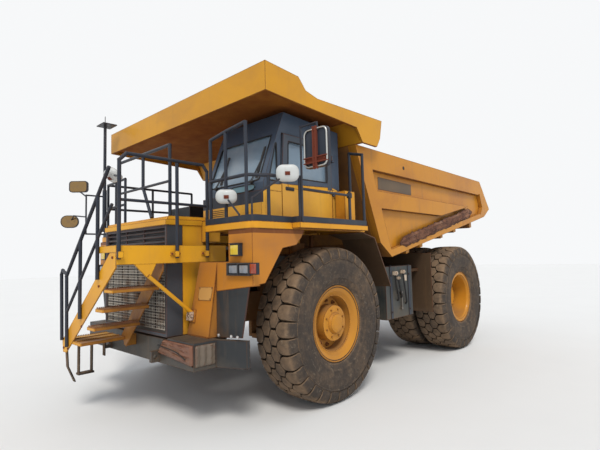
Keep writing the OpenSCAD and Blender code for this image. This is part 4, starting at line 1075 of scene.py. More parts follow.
@dataclass(frozen=True)
class BoltCircle:
    """A circle of nuts on a wheel's outer face, the first at the top or turned on by a share of the pitch."""

    count: int
    radius: float
    out: float
    size: float
    height: float
    turn: float = 0.0
    studs: bool = False
    washer_height: float = 0.008
    stud_length: float = 0.05

    def build(self, shape: Shape, centre: Vector, side: Side) -> None:
        """Adds the nuts, with their washers and studs where they have any.

        Args:
            shape: The shape that gets them.
            centre: The wheel's centre.
            side: The truck's side.
        """
        out = Vector((side.value, 0, 0))
        for i in range(self.count):
            angle = 2 * math.pi * (i + self.turn) / self.count
            foot = polar(side.value * self.out, self.radius, angle) + centre
            shape.nut(foot, out, self.size, self.height)
            if self.studs:
                shape.nut(foot, out, self.size * 1.5, self.washer_height, 16)
                shape.rod(foot, foot + out * self.stud_length, self.size * 0.5, 8)


@dataclass(frozen=True)
class WheelKind:
    """What the front wheels and the twin rear wheels don't share.

    Lips and gaps are beads as (distance out of the rim's face, radius, half thickness); a gap's bead is dark
    and is painted shade in the gap.
    """

    word: str
    body: str
    axle: Vector
    bolts: Tuple[BoltCircle, ...]
    lips: Tuple[Point, ...]
    gaps: Tuple[Point, ...]

    def centre(self, side: Side) -> Vector:
        """The centre of the outer wheel on a side."""
        return Vector((side.value * self.axle.x, self.axle.y, self.axle.z))


FRONT_WHEEL = WheelKind(
    "front", "wheel_front", FRONT_AXLE,
    (BoltCircle(12, 0.312, 0.040, 0.021, 0.034, studs=True), BoltCircle(8, 0.198, 0.203, 0.014, 0.014, 0.5)),
    lips=((0.014, 0.522, 0.011), (-0.004, 0.484, 0.008), (-0.058, 0.396, 0.013)),
    gaps=((0.015, 0.541, 0.006), (0.010, 0.505, 0.006)))
REAR_WHEELS = WheelKind(
    "rear", "wheels_rear", REAR_AXLE,
    (BoltCircle(20, 0.310, -0.178, 0.021, 0.034), BoltCircle(16, 0.235, 0.0, 0.014, 0.016, 0.5)),
    lips=((0.0, 0.521, 0.010), (-0.016, 0.507, 0.005)), gaps=((0.002, 0.541, 0.006),))


@dataclass
class Wheels:
    """Tyres, and the nuts and beads of the rims."""

    tyre: Tyre = field(default_factory=Tyre)
    dual_pitch: float = 0.712
    lip_reach: float = 0.025
    bead_sides: int = 8
    bead_steps: int = 72

    def build(self) -> None:
        """Every piece on the wheels."""
        self.build_tyres()
        self.build_fastenings()
        self.build_beads()

    def build_tyres(self) -> None:
        """The tyres, each standing for its plain solid."""
        for side in Side:
            centre = FRONT_WHEEL.centre(side)
            shape = Shape(f"tyre_blocks_front_{side.word}", centre)
            self.tyre.build(shape, centre)
            piece = shape.made(TREAD, "tyre", body=f"wheel_front_{side.word}")
            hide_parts(f"tyre_front_{side.word}")
            centre = REAR_WHEELS.centre(side)
            shape = Shape(f"tyre_blocks_rear_{side.word}", centre)
            self.tyre.build(shape, centre)
            self.tyre.build(shape, centre - Vector((side.value * self.dual_pitch, 0, 0)))
            piece = shape.made(TREAD, "tyre", body=f"wheels_rear_{side.word}")
            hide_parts(f"tyres_rear_{side.word}")

    def build_fastenings(self) -> None:
        """Wheel nuts and hub bolts."""
        for side in Side:
            for kind in (FRONT_WHEEL, REAR_WHEELS):
                centre = kind.centre(side)
                shape = Shape(f"{kind.word}_wheel_nuts_{side.word}", centre)
                for bolts in kind.bolts:
                    bolts.build(shape, centre, side)
                shape.made(RIM_ORANGE, "paint", body=f"{kind.body}_{side.word}")

    def build_beads(self) -> None:
        """Raised lips on the rims' faces, and dark beads beside them that are painted shade in the gaps."""
        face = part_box("rim_front_left")[1].x - FRONT_AXLE.x - self.lip_reach
        turns = [2 * math.pi * i / self.bead_sides for i in range(self.bead_sides)]
        for kind in (FRONT_WHEEL, REAR_WHEELS):
            for side in Side:
                body, centre = f"{kind.body}_{side.word}", kind.centre(side)
                # The gaps' dark beads are painted shade.
                for name, beads, finish, slot in (("rim_lips", kind.lips, RIM_ORANGE, "paint"),
                                                  ("rim_gaps", kind.gaps, SEAL, "rubber")):
                    shape = Shape(f"{name}_{body}", centre)
                    for out, radius, thick in beads:
                        middle = side.value * (face + out)
                        shape.revolve([(middle + thick * math.sin(turn), radius + thick * math.cos(turn))
                                       for turn in turns], centre, self.bead_steps, closed=True)
                    shape.made(finish, slot, body=body)


@dataclass
class NoseDress:
    """Fine wires of the radiator guard, and the finned core behind them.

    Each y is counted back from the guard's front.
    """

    wire: float = 0.0042
    cell: float = 0.037
    wire_margin: float = 0.01
    upright_y: float = 0.016
    level_y: float = 0.013
    core_y: float = 0.046
    core_depth: float = 0.012
    fins: int = 60
    fin_half: float = 0.004
    fin_margin: float = 0.03
    fin_top_margin: float = 0.02

    def build(self) -> None:
        """The fine wire cloth between the guard's bars, and the fins that show through it."""
        low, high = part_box("radiator_mesh")
        wires = Shape("guard_wires")
        left, right, foot, top = (low.x + self.wire_margin, high.x - self.wire_margin,
                                  low.z + self.wire_margin, high.z - self.wire_margin)
        columns, rows = (round(length / self.cell) for length in (high.x - low.x, high.z - low.z))
        for i in range(1, columns):
            x, y = low.x + (high.x - low.x) * i / columns, low.y + self.upright_y
            wires.rod(Vector((x, y, foot)), Vector((x, y, top)), self.wire, 6)
        for i in range(1, rows):
            y, z = low.y + self.level_y, low.z + (high.z - low.z) * i / rows
            wires.rod(Vector((left, y, z)), Vector((right, y, z)), self.wire, 6)
        wires.made(WIRE, "steel")
        core = Shape("radiator_core")
        first, last, y = low.x + self.fin_margin, high.x - self.fin_margin, low.y + self.core_y
        for i in range(self.fins):
            x = first + (last - first) * i / (self.fins - 1)
            core.block((x - self.fin_half, y, low.z + self.fin_margin),
                       (x + self.fin_half, y + self.core_depth, high.z - self.fin_top_margin))
        core.made(IRON, "iron")


@dataclass
class LampDress:
    """Lenses in front of the plain lamp solids, with dark bezels and hoods round them.

    A window is (least X, least Z, greatest X, greatest Z) as on the left side. Each y is counted back
    from the foremost lamp.
    """

    lens_depth: float = 0.012
    dome: Outline = ((0.0, 0.0), (0.7, 0.006), (1.0, 0.022))
    lenses: Tuple[Tuple[str, Finish, float, Tuple[Window, ...]], ...] = (
        ("head_lenses", CLEAR_LENS, 0.035, ((1.687, 1.862, 1.838, 1.958), (1.882, 1.862, 2.033, 1.958))),
        ("work_lenses", AMBER_LENS, 0.0, ((1.764, 2.079, 1.901, 2.196),)),
        ("turn_lenses", RED_LENS, 0.020, ((2.086, 1.860, 2.195, 1.975),)),
    )
    bezel_y: Pair = (0.020, 0.0597)
    bezels: Tuple[Window, ...] = (
        (1.650, 1.835, 2.068, 1.849), (1.650, 1.971, 2.068, 1.985), (1.650, 1.849, 1.674, 1.971),
        (1.851, 1.849, 1.869, 1.971), (2.046, 1.849, 2.068, 1.971))
    hood_y: Pair = (-0.012, 0.059)
    hoods: Tuple[Window, ...] = ((1.742, 2.211, 1.923, 2.220),)

    def lens(self, shape: Shape, side: Side, window: Window, front: float) -> None:
        """A domed lens on a lamp's front face.

        Args:
            shape: The shape that gets it.
            side: The truck's side.
            window: The lens's window.
            front: The Y of the lamp's face.
        """
        x0, x1 = sorted((side.value * window[0], side.value * window[2]))
        z0, z1 = window[1], window[3]
        rings = []
        for rise, shrink in self.dome:
            y = front - self.lens_depth * rise
            rings.append([Vector((x0 + shrink, y, z0 + shrink)), Vector((x1 - shrink, y, z0 + shrink)),
                          Vector((x1 - shrink, y, z1 - shrink)), Vector((x0 + shrink, y, z1 - shrink))])
        shape.loft(rings)

    def build(self) -> None:
        """Lenses of the head lamps, work lamps and turn lamps, and their housings."""
        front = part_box("lamps")[0].y
        for name, finish, back, windows in self.lenses:
            for side in Side:
                shape = Shape(f"{name}_{side.word}")
                for window in windows:
                    self.lens(shape, side, window, front + back)
                shape.made(finish, "lamp", bevel=0.003)
        for side in Side:
            shape = Shape(f"lamp_housings_{side.word}")
            for (near, far), windows in ((self.bezel_y, self.bezels), (self.hood_y, self.hoods)):
                for x0, z0, x1, z1 in windows:
                    x0, x1 = sorted((side.value * x0, side.value * x1))
                    shape.block((x0, front + near, z0), (x1, front + far, z1))
            shape.made(TRIM, "trim", bevel=0.002)


@dataclass
class StairDress:
    """Grip plates with toothed edges on the treads and on the low platform.

    Each place is (X from the stair's low end, Z of its top).
    """

    tooth: float = 0.022
    tooth_height: float = 0.018
    tooth_thick: float = 0.012
    plate_height: float = 0.006
    plate_half: float = 0.103
    edges: Pair = (-0.104, 0.092)
    width: float = 0.590
    margin: float = 0.016
    first: Pair = (0.683, 1.004)
    run: float = 0.246
    rise: float = 0.237
    platform: Outline = ((0.155, 1.015), (0.365, 1.015))

    def build(self) -> None:
        """The plates of the treads and of the platform."""
        treads = [(self.first[0] + i * self.run, self.first[1] + i * self.rise) for i in (1, 2, 3)]
        self.plates("tread_grips", treads, RUSTY, "steel")
        self.plates("platform_plate", self.platform, DECK_PLATE, "paint")

    def plates(self, name: str, places: Sequence[Pair], finish: Finish, slot: str) -> None:
        """One piece of grip plates.

        Args:
            name: The piece's name.
            places: Where its plates lie.
            finish: Its finish.
            slot: The record's material slot.
        """
        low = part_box("stair")[0]
        y0, y1 = low.y + self.margin, low.y + self.width - self.margin
        count = int((y1 - y0) / self.tooth)
        shape = Shape(name)
        for reach, z in places:
            x = low.x + reach
            shape.block((x - self.plate_half, y0, z), (x + self.plate_half, y1, z + self.plate_height))
            for edge in self.edges:
                for i in range(count):
                    y = y0 + (y1 - y0) * (i + 0.25) / count
                    shape.block((x + edge, y, z),
                                (x + edge + self.tooth_thick, y + self.tooth * 0.5, z + self.tooth_height))
        shape.made(finish, slot)


@dataclass(frozen=True)
class MirrorHead:
    """One rounded mirror, as its plain solid has it."""

    name: str
    place: Vector
    tilt: float
    turn: float
    width: float
    height: float
    corner: float
    faces_ahead: bool = False

    def point(self, across: float, up: float, ahead: float) -> Vector:
        """A point in the mirror's own directions.

        Args:
            across: Along its width.
            up: Along its height.
            ahead: Out of its front.

        Returns:
            The point in the row frame.
        """
        tilt, turn = math.radians(self.tilt), math.radians(self.turn)
        side = Vector((math.cos(turn), math.sin(turn), 0))
        front = Vector((math.sin(turn) * math.cos(tilt), -math.cos(turn) * math.cos(tilt), -math.sin(tilt)))
        return self.place + side * across + front.cross(side) * -up + front * ahead

    def ring(self, share: float, ahead: float, steps: int = 8) -> List[Vector]:
        """The mirror's outline, shrunk and moved out of its plane.

        Args:
            share: The outline's scale.
            ahead: Its place out of the middle plane.
            steps: Steps in each corner.

        Returns:
            The ring's points.
        """
        ring = []
        for corner, (side, rise) in enumerate(((1, 1), (-1, 1), (-1, -1), (1, -1))):
            for i in range(steps):
                angle = math.radians(corner * 90 + i * 90 / (steps - 1))
                across = side * (self.width / 2 - self.corner) + self.corner * math.cos(angle)
                up = rise * (self.height / 2 - self.corner) + self.corner * math.sin(angle)
                ring.append(self.point(across * share, up * share, ahead))
        return ring

    def skinned(self, part: str, profile: Outline) -> Shape:
        """A shape that is lofted through copies of the outline.

        Args:
            part: The part's word in the piece's name.
            profile: The (scale, place out of the middle plane) of each copy.

        Returns:
            The shape.
        """
        shape = Shape(f"{self.name}_{part}", self.place)
        shape.loft([self.ring(share, ahead) for share, ahead in profile])
        return shape


@dataclass
class MirrorDress:
    """Domed shells and silvered faces of the rounded mirrors, and the big mirror's frame."""

    heads: Tuple[MirrorHead, ...] = (
        MirrorHead("bonnet_mirror", spot(2.289, -1.198, 3.042), 12, 45, 0.270, 0.200, 0.080),
        MirrorHead("corner_mirror", spot(1.620, -1.600, 2.800), 12, 52, 0.255, 0.170, 0.075),
        MirrorHead("stair_mirror", spot(0.716, -2.600, 3.080), 50, 0, 0.250, 0.180, 0.080),
        MirrorHead("far_mirror", spot(-2.100, -1.980, 3.370), 0, 45, 0.320, 0.200, 0.050, True),
        MirrorHead("far_round_mirror", spot(-2.60308, -1.949, 2.788), 0, 60, 0.300, 0.230, 0.105, True),
    )
    shell: Outline = ((0.96, -0.027), (1.015, -0.027), (1.022, -0.010), (1.02, 0.023), (0.94, 0.037),
                      (0.76, 0.049), (0.46, 0.057), (0.15, 0.059))
    glass: Outline = ((0.95, -0.0275), (0.94, -0.030))
    far_shell: Outline = ((0.93, -0.0232), (0.80, -0.030), (0.55, -0.038), (0.25, -0.041))
    far_glass: Outline = ((0.90, 0.0233), (0.89, 0.027))
    clamp_half: Pair = (0.03, 0.022)
    clamp_ahead: Pair = (0.057, 0.067)
    clamp_bolt: float = 0.010
    big_place: Vector = field(default_factory=lambda: spot(2.508, -0.890, 3.360))
    big_half: Pair = (0.177, 0.232)
    big_tube: float = 0.011
    big_bars: Tuple[Tuple[Point, Point], ...] = (
        ((-0.028, -0.064, -0.265), (-0.016, -0.0235, 0.262)),
        ((0.016, -0.064, -0.265), (0.028, -0.0235, 0.262)),
        ((-0.022, -0.050, -0.262), (0.022, -0.044, 0.260)),
        ((-0.186, -0.058, -0.188), (0.186, -0.0235, -0.176)),
        ((-0.186, -0.058, -0.124), (0.186, -0.0235, -0.112)),
        ((-0.186, -0.034, -0.182), (0.186, -0.028, -0.118)))
    big_bolts: Outline = ((0.0, 0.21), (0.0, -0.225), (-0.15, -0.15), (0.15, -0.15), (0.0, 0.02))
    big_glass: Pair = (0.165, 0.22)

    def build(self) -> None:
        """Every shell, face and clamp, and the big mirror."""
        for head in self.heads:
            self.build_head(head)
        self.build_big()

    def build_head(self, head: MirrorHead) -> None:
        """A shell, its glass and the clamp on its back.

        Args:
            head: The mirror.
        """
        if head.faces_ahead:
            head.skinned("glass", self.far_glass).made(DUSTY_MIRROR, "chrome")
            head.skinned("shell", self.far_shell).made(SLATE, "dark_paint")
            return
        head.skinned("shell", self.shell).made(SHELL_WHITE, "paint")
        head.skinned("glass", self.glass).made(MIRROR, "chrome")
        clamp = Shape(f"{head.name}_clamp", head.place)
        clamp.loft([[head.point(x, z, ahead) for x, z in rectangle(*self.clamp_half)]
                    for ahead in self.clamp_ahead])
        for x in (-0.018, 0.018):
            clamp.nut(head.point(x, 0, self.clamp_ahead[1]), head.point(0, 0, 1) - head.place,
                      self.clamp_bolt, self.clamp_bolt)
        clamp.made(BRACKET, "steel", bevel=0.002)

    def build_big(self) -> None:
        """The worn tube frame, the rusty bars and channel, and the glass of the big mirror."""
        place = self.big_place
        wide, tall = self.big_half
        loop = Shape("big_mirror_tube", place)
        loop.tube([Vector((x, -0.035, z)) + place for x, z in (
            (0, tall), (wide, tall), (wide, -tall), (-wide, -tall), (-wide, tall), (0.0, tall))],
            self.big_tube, 0.075, 10)
        loop.made(WORN_TUBE, "steel")
        bar = Shape("big_mirror_bar", place)
        for low, high in self.big_bars:
            bar.block(place + Vector(low), place + Vector(high))
        for x, z in self.big_bolts:
            bar.nut(place + Vector((x, -0.048, z)), AHEAD, 0.011, 0.010)
        bar.made(BRACKET, "steel", bevel=0.002)
        glass = Shape("big_mirror_glass", place)
        glass.loft([[place + Vector((x * share, y, z * share)) for x, z in rectangle(*self.big_glass)]
                    for y, share in ((0.0233, 1.0), (0.027, 0.985))])
        glass.made(MIRROR, "chrome")


@dataclass
class DeckDress:
    """Kick bands round the decks, and the landing posts' clamp pads and bolts.

    A pad is (Y of its middle, half its length), and a bolt of the beam is (X, Z).
    """

    top: float = 2.4703
    band: float = 0.078
    thick: float = 0.012
    clearance: float = 0.003
    corner: Point = (1.970, -1.480, 0.130)
    corner_steps: int = 8
    inner_end: float = 1.190
    step: Pair = (2.240, -0.925)
    pads: Outline = ((-2.672, 0.033), (-1.968, 0.068), (-1.523, 0.064))
    pad_bolt_inset: float = 0.018
    beam_front: float = -2.7058
    beam_bolts: Outline = ((0.601, 1.752), (0.087, 1.237), (-0.369, 0.905), (-0.520, 0.900), (0.965, 2.085))

    def edge(self, side: Side, rear: float, stepped: bool) -> List[Vector]:
        """The route of a band along a deck's edge.

        Args:
            side: The deck's side.
            rear: Where the band ends.
            stepped: Whether the deck has the step beside the cab.

        Returns:
            The route, from the inner front corner round to the rear.
        """
        x0, y0, radius = self.corner
        inset = self.thick + self.clearance
        reach = radius - inset
        route = [spot(self.inner_end, y0 - reach, self.top)]
        for i in range(self.corner_steps + 1):
            angle = math.radians(-90 + i * 90 / self.corner_steps)
            route.append(spot(x0 + reach * math.cos(angle), y0 + reach * math.sin(angle), self.top))
        outer = x0 + reach
        if stepped:
            route.append(spot(outer, self.step[1], self.top))
            outer = self.step[0] - inset
            route.append(spot(outer, self.step[1], self.top))
        route.append(spot(outer, rear, self.top))
        return [Vector((side.value * point.x, point.y, point.z)) for point in route]

    def build(self) -> None:
        """Both bands, the pads and the bolts."""
        for side, rear, stepped in ((Side.LEFT, 0.555, True), (Side.RIGHT, 0.670, False)):
            shape = Shape(f"kick_band_{side.word}")
            route = self.edge(side, rear, stepped)
            shape.ribbon(route if side is Side.LEFT else route[::-1], self.band, self.thick)
            shape.made(SLATE, "dark_paint", bevel=0.002)
        pads = Shape("post_pads")
        bolts = Shape("post_bolts")
        for y, half in self.pads:
            pads.block(spot(1.0505, y - half, 2.092), spot(1.064, y + half, 2.140))
            pads.block(spot(1.092, y - 0.032, 2.075), spot(1.104, y + 0.032, 2.150))
            for place in (y - half + self.pad_bolt_inset, y + half - self.pad_bolt_inset):
                bolts.nut(spot(1.064, place, 2.116), LEFTWARD, 0.014, 0.016)
        for x, z in self.beam_bolts:
            bolts.nut(spot(x, self.beam_front, z), AHEAD, 0.015, 0.014)
        pads.made(BRIGHT_YELLOW, "paint", bevel=0.003)
        bolts.made(BRACKET, "steel", bevel=0.001)


@dataclass
class FrontDress:
    """Damage on the bumper, the guards' bolts, and what is fixed to the leaning legs.

    Outlines and places on the leg or on the guards are (X, Z).
    """

    foot: Pair = (-1.720, 1.074)
    lean: float = 0.1293
    grid: Tuple[int, int] = (22, 12)
    torn: Tuple[Point, ...] = ((0.672, -2.0, 0.868), (1.484, -2.0, 0.798), (1.484, -2.0, 1.046),
                               (0.830, -2.0, 1.046))
    folded: Tuple[Point, ...] = ((1.4935, -1.985, 0.792), (1.511, -1.715, 0.792), (1.511, -1.715, 1.040),
                                 (1.4935, -1.985, 1.040))
    tear: Tuple[Point, ...] = ((0.714, -2.020, 0.966), (1.00, -2.032, 0.955), (1.19, -2.034, 0.935),
                               (1.36, -2.030, 0.872))
    guard_bolts: Outline = ((1.434, 1.099), (1.681, 1.110), (1.800, 1.112))
    cover: Outline = ((1.093, 1.516), (1.362, 1.522), (1.386, 1.690), (1.093, 1.681))
    cover_bolts: Outline = ((1.110, 1.532), (1.348, 1.538), (1.110, 1.666), (1.366, 1.674))
    clevis: Outline = ((0.955, 1.235), (1.075, 1.235), (1.075, 1.395), (0.955, 1.395))

    def leg(self, x: float, z: float, out: float) -> Vector:
        """A point on the left leg's leaning face, pushed out of it."""
        return spot(x, self.foot[0] + self.lean * (z - self.foot[1]) - out, z)

    def on_leg(self, shape: Shape, outline: Outline, low: float, high: float) -> None:
        """A plate on the leg's face, from low to high out of it."""
        shape.loft([[self.leg(x, z, out) for x, z in outline] for out in (low, high)])

    def dented(self, name: str, ring: Sequence[Point], out: Vector, depth: float, finish: Finish,
               folds: int = 0) -> None:
        """A crumpled skin between four corners.

        Args:
            name: The piece's name.
            ring: Its corners as spots, from the lower left one.
            out: The way out of the plate.
            depth: How deep it is crumpled.
            finish: Its finish.
            folds: Upright folds across it.
        """
        columns, rows = self.grid
        shape = Shape(name)
        low_left, low_right, high_right, high_left = (spot(*corner) for corner in ring)
        grid = []
        for row in range(rows + 1):
            left = low_left.lerp(high_left, row / rows)
            right = low_right.lerp(high_right, row / rows)
            line = []
            for column in range(columns + 1):
                share = column / columns
                rim = row in (0, rows) or column in (0, columns)
                wave = random.random() * 0.45
                if folds:
                    wave += 0.5 + 0.5 * math.sin(share * folds * 2 * math.pi)
                else:
                    wave += 0.4 + 0.4 * math.sin(share * 9 + row * 0.8) * math.cos(row * 1.3 - share * 5)
                line.append(left.lerp(right, share) + out * (0.004 + (0.0 if rim else depth * wave)))
            grid.append(line)
        wide = columns + 1
        shape.add([point for line in grid for point in line],
                  [(a, a + 1, a + 1 + wide, a + wide)
                   for row in range(rows) for a in range(row * wide, row * wide + columns)])
        border = [grid[0][0], grid[0][-1], grid[-1][-1], grid[-1][0]]
        shape.loft([border, [point - out * 0.003 for point in border]])
        shape.made(finish, "dark_paint")

    def build(self) -> None:
        """Every piece of the front."""
        self.dented("torn_plate", self.torn, AHEAD, 0.026, TORN)
        self.dented("folded_corner", self.folded, LEFTWARD, 0.016, FOLDED, 3)
        # A dark tube along the tear: painted shade in the torn gap.
        tear = Shape("plate_tear")
        tear.tube([spot(*point) for point in self.tear], 0.007, 0.05, 8)
        tear.made(SEAL, "rubber")
        bolts = Shape("guard_bolts")
        for x, z in self.guard_bolts:
            bolts.nut(spot(x, -1.5983, z), AHEAD, 0.020, 0.012, 12)
        bolts.made(SHELL_WHITE, "steel")
        cover = Shape("leg_cover")
        self.on_leg(cover, self.cover, LIFT, 0.006)
        for x, z in self.cover_bolts:
            cover.nut(self.leg(x, z, 0.006), AHEAD, 0.009, 0.006)
        cover.made(LEG_LABEL, "paint", bevel=0.002)
        clevis = Shape("brace_clevis")
        self.on_leg(clevis, self.clevis, LIFT, 0.012)
        clevis.made(YELLOW, "paint", bevel=0.002)
        fork = Shape("brace_fork")
        for x in (0.972, 1.030):
            self.on_leg(fork, ((x, 1.262), (x + 0.012, 1.262), (x + 0.012, 1.372), (x, 1.372)), 0.012, 0.075)
        fork.rod(self.leg(0.955, 1.318, 0.045), self.leg(1.062, 1.318, 0.045), 0.018, 16)
        fork.made(PALE_STEEL, "steel", bevel=0.002)


@dataclass
class CabDress:
    """Skins, slits, seals, wipers and the latch of the cab.

    Outlines on the cab's left side are (Y from the axle, Z), and those on its front (X, Z).
    """

    rear_skin: Outline = ((0.213, 2.9003), (0.419, 2.9003), (0.419, 2.925), (0.330, 3.030), (0.213, 3.060))
    front_skin: Outline = ((-1.170, 2.9003), (-0.873, 2.9003), (-0.873, 2.999), (-1.080, 2.984),
                           (-1.170, 2.905))
    low_skin: Outline = ((-0.752, 2.960), (0.102, 2.960), (0.102, 3.052), (-0.752, 3.012))
    high_skin: Outline = ((-0.752, 3.013), (0.102, 3.053), (0.102, 3.118), (-0.700, 3.104), (-0.752, 3.104))
    latch: Outline = ((-0.792, 2.928), (-0.637, 2.928), (-0.630, 2.940), (-0.630, 2.966), (-0.637, 2.978),
                      (-0.792, 2.978), (-0.799, 2.966), (-0.799, 2.940))
    latch_grip: Tuple[Point, Point] = ((1.864, -0.775, 2.944), (1.872, -0.655, 2.962))
    door_face: float = 1.8583
    lower_pane: Outline = ((1.160, 2.948), (1.282, 2.918), (1.440, 2.912), (1.660, 2.930), (1.672, 2.985),
                           (1.600, 3.002), (1.200, 3.002))
    screen_edge: Outline = ((0.655, 3.046), (1.735, 3.046), (1.735, 3.684), (0.655, 3.684))
    quarter_edge: Outline = ((-1.076, 3.044), (-0.924, 3.044), (-0.924, 3.556), (-0.944, 3.556))
    door_edge: Outline = ((-0.748, 3.110), (0.098, 3.124), (0.098, 3.606), (-0.728, 3.606))
    front: float = -1.2103
    slits: int = 5
    slit_pitch: float = 0.026
    slit_height: float = 0.008
    wipers: Tuple[Point, ...] = ((1.690, 3.075, 3.520), (0.930, 3.075, 3.500))

    def skin(self, shape: Shape, outline: Outline, low: float, high: float) -> None:
        """A plate on the cab's left side, from X low to X high."""
        shape.loft([[spot(x, y, z) for y, z in outline] for x in (low, high)])

    def screen(self, x: float, z: float, out: float) -> Vector:
        """A point on the leaning windscreen wall, pushed out of it."""
        return spot(x, -1.170 + (z - 3.010) * 0.3803 - out, z)

    def ring(self, shape: Shape, corners: Sequence[Vector], radius: float) -> None:
        """A round seal along the closed outline of those corners."""
        start = corners[0].lerp(corners[1], 0.5)
        shape.tube([start, *corners[1:], corners[0], start], radius, 0.06, 8)

    def build(self) -> None:
        """Every piece of the cab."""
        skins = Shape("cab_side_skins")
        for outline in (self.front_skin, self.rear_skin):
            self.skin(skins, outline, 1.8305, 1.860)
        skins.made(SKIRT_YELLOW, "paint", bevel=0.003)
        for name, outline, outer, finish, slot, bevel in (
                ("door_lower_skin", self.low_skin, 1.862, BRIGHT_YELLOW, "paint", 0.001),
                ("door_upper_skin", self.high_skin, 1.862, CAB_SLATE, "dark_paint", 0.001),
                ("door_latch", self.latch, 1.864, TRIM, "trim", 0.002)):
            shape = Shape(name)
            self.skin(shape, outline, self.door_face, outer)
            if outline is self.latch:
                shape.block(*(spot(*corner) for corner in self.latch_grip))
            shape.made(finish, slot, bevel, "cab_door")
        self.build_front()
        self.build_wipers()
        self.build_seals()

    def build_front(self) -> None:
        """Dark strips that are painted shade in the slits, and the lower pane with its seal."""
        # Painted shade: dark strips stand for the shade inside the slits.
        slits = Shape("skirt_slits")
        for i in range(self.slits):
            z = 2.600 + i * self.slit_pitch
            slits.block(spot(0.800, self.front - 0.003, z), spot(1.118, self.front, z + self.slit_height))
        slits.made(TRIM, "trim")
        pane = Shape("lower_pane")
        pane.loft([[spot(x, y, z) for x, z in self.lower_pane] for y in (-1.1703, -1.176)])
        pane.made(LOWER_PANE, "glass", bevel=0.001)
        edge = Shape("lower_pane_seal")
        self.ring(edge, [spot(x, -1.177, z) for x, z in self.lower_pane], 0.007)
        edge.made(SEAL, "rubber")

    def build_wipers(self) -> None:
        """Both wipers, each with a pivot, two arms and a blade."""
        wiper = Shape("wipers")
        for x, low, high in self.wipers:
            foot = self.screen(x - 0.075, 3.028, 0.004)
            wiper.rod(foot, foot + AHEAD * 0.045, 0.022, 12)
            for shift, knee, reach, radius in ((0.0, -0.045, 0.0, 0.007), (0.03, -0.020, 0.012, 0.005)):
                wiper.tube([foot + Vector((shift, -0.04, 0)), self.screen(x + knee, low + 0.05, 0.040),
                            self.screen(x + reach, (low + high) / 2, 0.034)], radius, 0.05, 8)
            blade = [self.screen(x + shift, low, out) for shift, out in (
                (-0.012, 0.006), (0.012, 0.006), (0.012, 0.032), (-0.012, 0.032))]
            tip = [point + self.screen(x, high, 0) - self.screen(x, low, 0) for point in blade]
            wiper.loft([blade, tip])
        wiper.made(TRIM, "trim", bevel=0.001)

    def build_seals(self) -> None:
        """Round seals along the edges of the panes."""
        seal = Shape("pane_seals")
        self.ring(seal, [self.screen(x, z, 0.002) for x, z in self.screen_edge], 0.010)
        self.ring(seal, [spot(1.832, y, z) for y, z in self.quarter_edge], 0.008)
        seal.made(SEAL, "rubber")
        door = Shape("door_pane_seal")
        self.ring(door, [spot(1.860, y, z) for y, z in self.door_edge], 0.008)
        door.made(SEAL, "rubber", body="cab_door")


@dataclass
class BedDress:
    """The blank plate, the mud along the ledge, and on the bed's sides a dark disc in the lifting eye's hole
    that is painted shade.
    """

    recess: float = 1.9203
    plate_thick: float = 0.003
    plate: Outline = ((1.399, 3.150), (2.568, 3.145), (2.568, 3.350), (1.399, 3.364))
    rib: float = 2.0053
    eye: Pair = (2.161, 3.606)
    eye_radius: float = 0.034
    mud_start: Pair = (1.92, 2.215)
    mud_end: Pair = (5.38, 2.985)
    mud_step: float = 0.07
    mud_reaches: Tuple[Point, ...] = ((-90, 0.070, 0.100), (-45, 0.040, 0.075), (0, 0.010, 0.032),
                                      (45, 0.040, 0.075), (90, 0.080, 0.115))

    def build(self) -> None:
        """Every piece on the bed."""
        plate = Shape("side_plate")
        plate.loft([[spot(x, y, z) for y, z in self.plate]
                    for x in (self.recess, self.recess + self.plate_thick)])
        plate.made(LABEL, "paint", body="bed")
        # A dark disc on each side's rib: painted shade in the lifting eye's hole.
        eye = Shape("lifting_eyes")
        for side in Side:
            out = Vector((side.value, 0, 0))
            place = spot(side.value * self.rib, *self.eye)
            eye.rod(place - out * 0.001, place + out * 0.002, self.eye_radius, 20)
        eye.made(SEAL, "rubber", body="bed")
        for side in Side:
            self.build_mud(side)

    def build_mud(self, side: Side) -> None:
        """The uneven strip of mud that lies on the ledge along a side's lower edge.

        Args:
            side: The side that gets it.
        """
        start, end = Vector(self.mud_start), Vector(self.mud_end)
        along = (end - start).normalized()
        across = Vector((-along.y, along.x))
        count = int((end - start).length / self.mud_step)
        shape = Shape(f"ledge_mud_{side.word}")
        rings = []
        for i in range(count + 1):
            middle = start.lerp(end, i / count)
            swell = 0.25 + 0.75 * min(1.0, i / 3, (count - i) / 3)
            ring = []
            for turn, low, high in self.mud_reaches:
                reach = (low + (high - low) * random.random()) * swell
                angle = math.radians(turn)
                flat = middle + across * reach * math.sin(angle) * 1.15
                ring.append(spot(side.value * (self.rib + reach * math.cos(angle) * 0.9), flat.x, flat.y))
            for width in (0.10, -0.08):
                foot = middle + across * width * swell
                ring.append(spot(side.value * (self.rib - 0.004), foot.x, foot.y))
            rings.append(ring)
        shape.loft(rings)
        shape.made(MUD, "dusty_paint", body="bed")


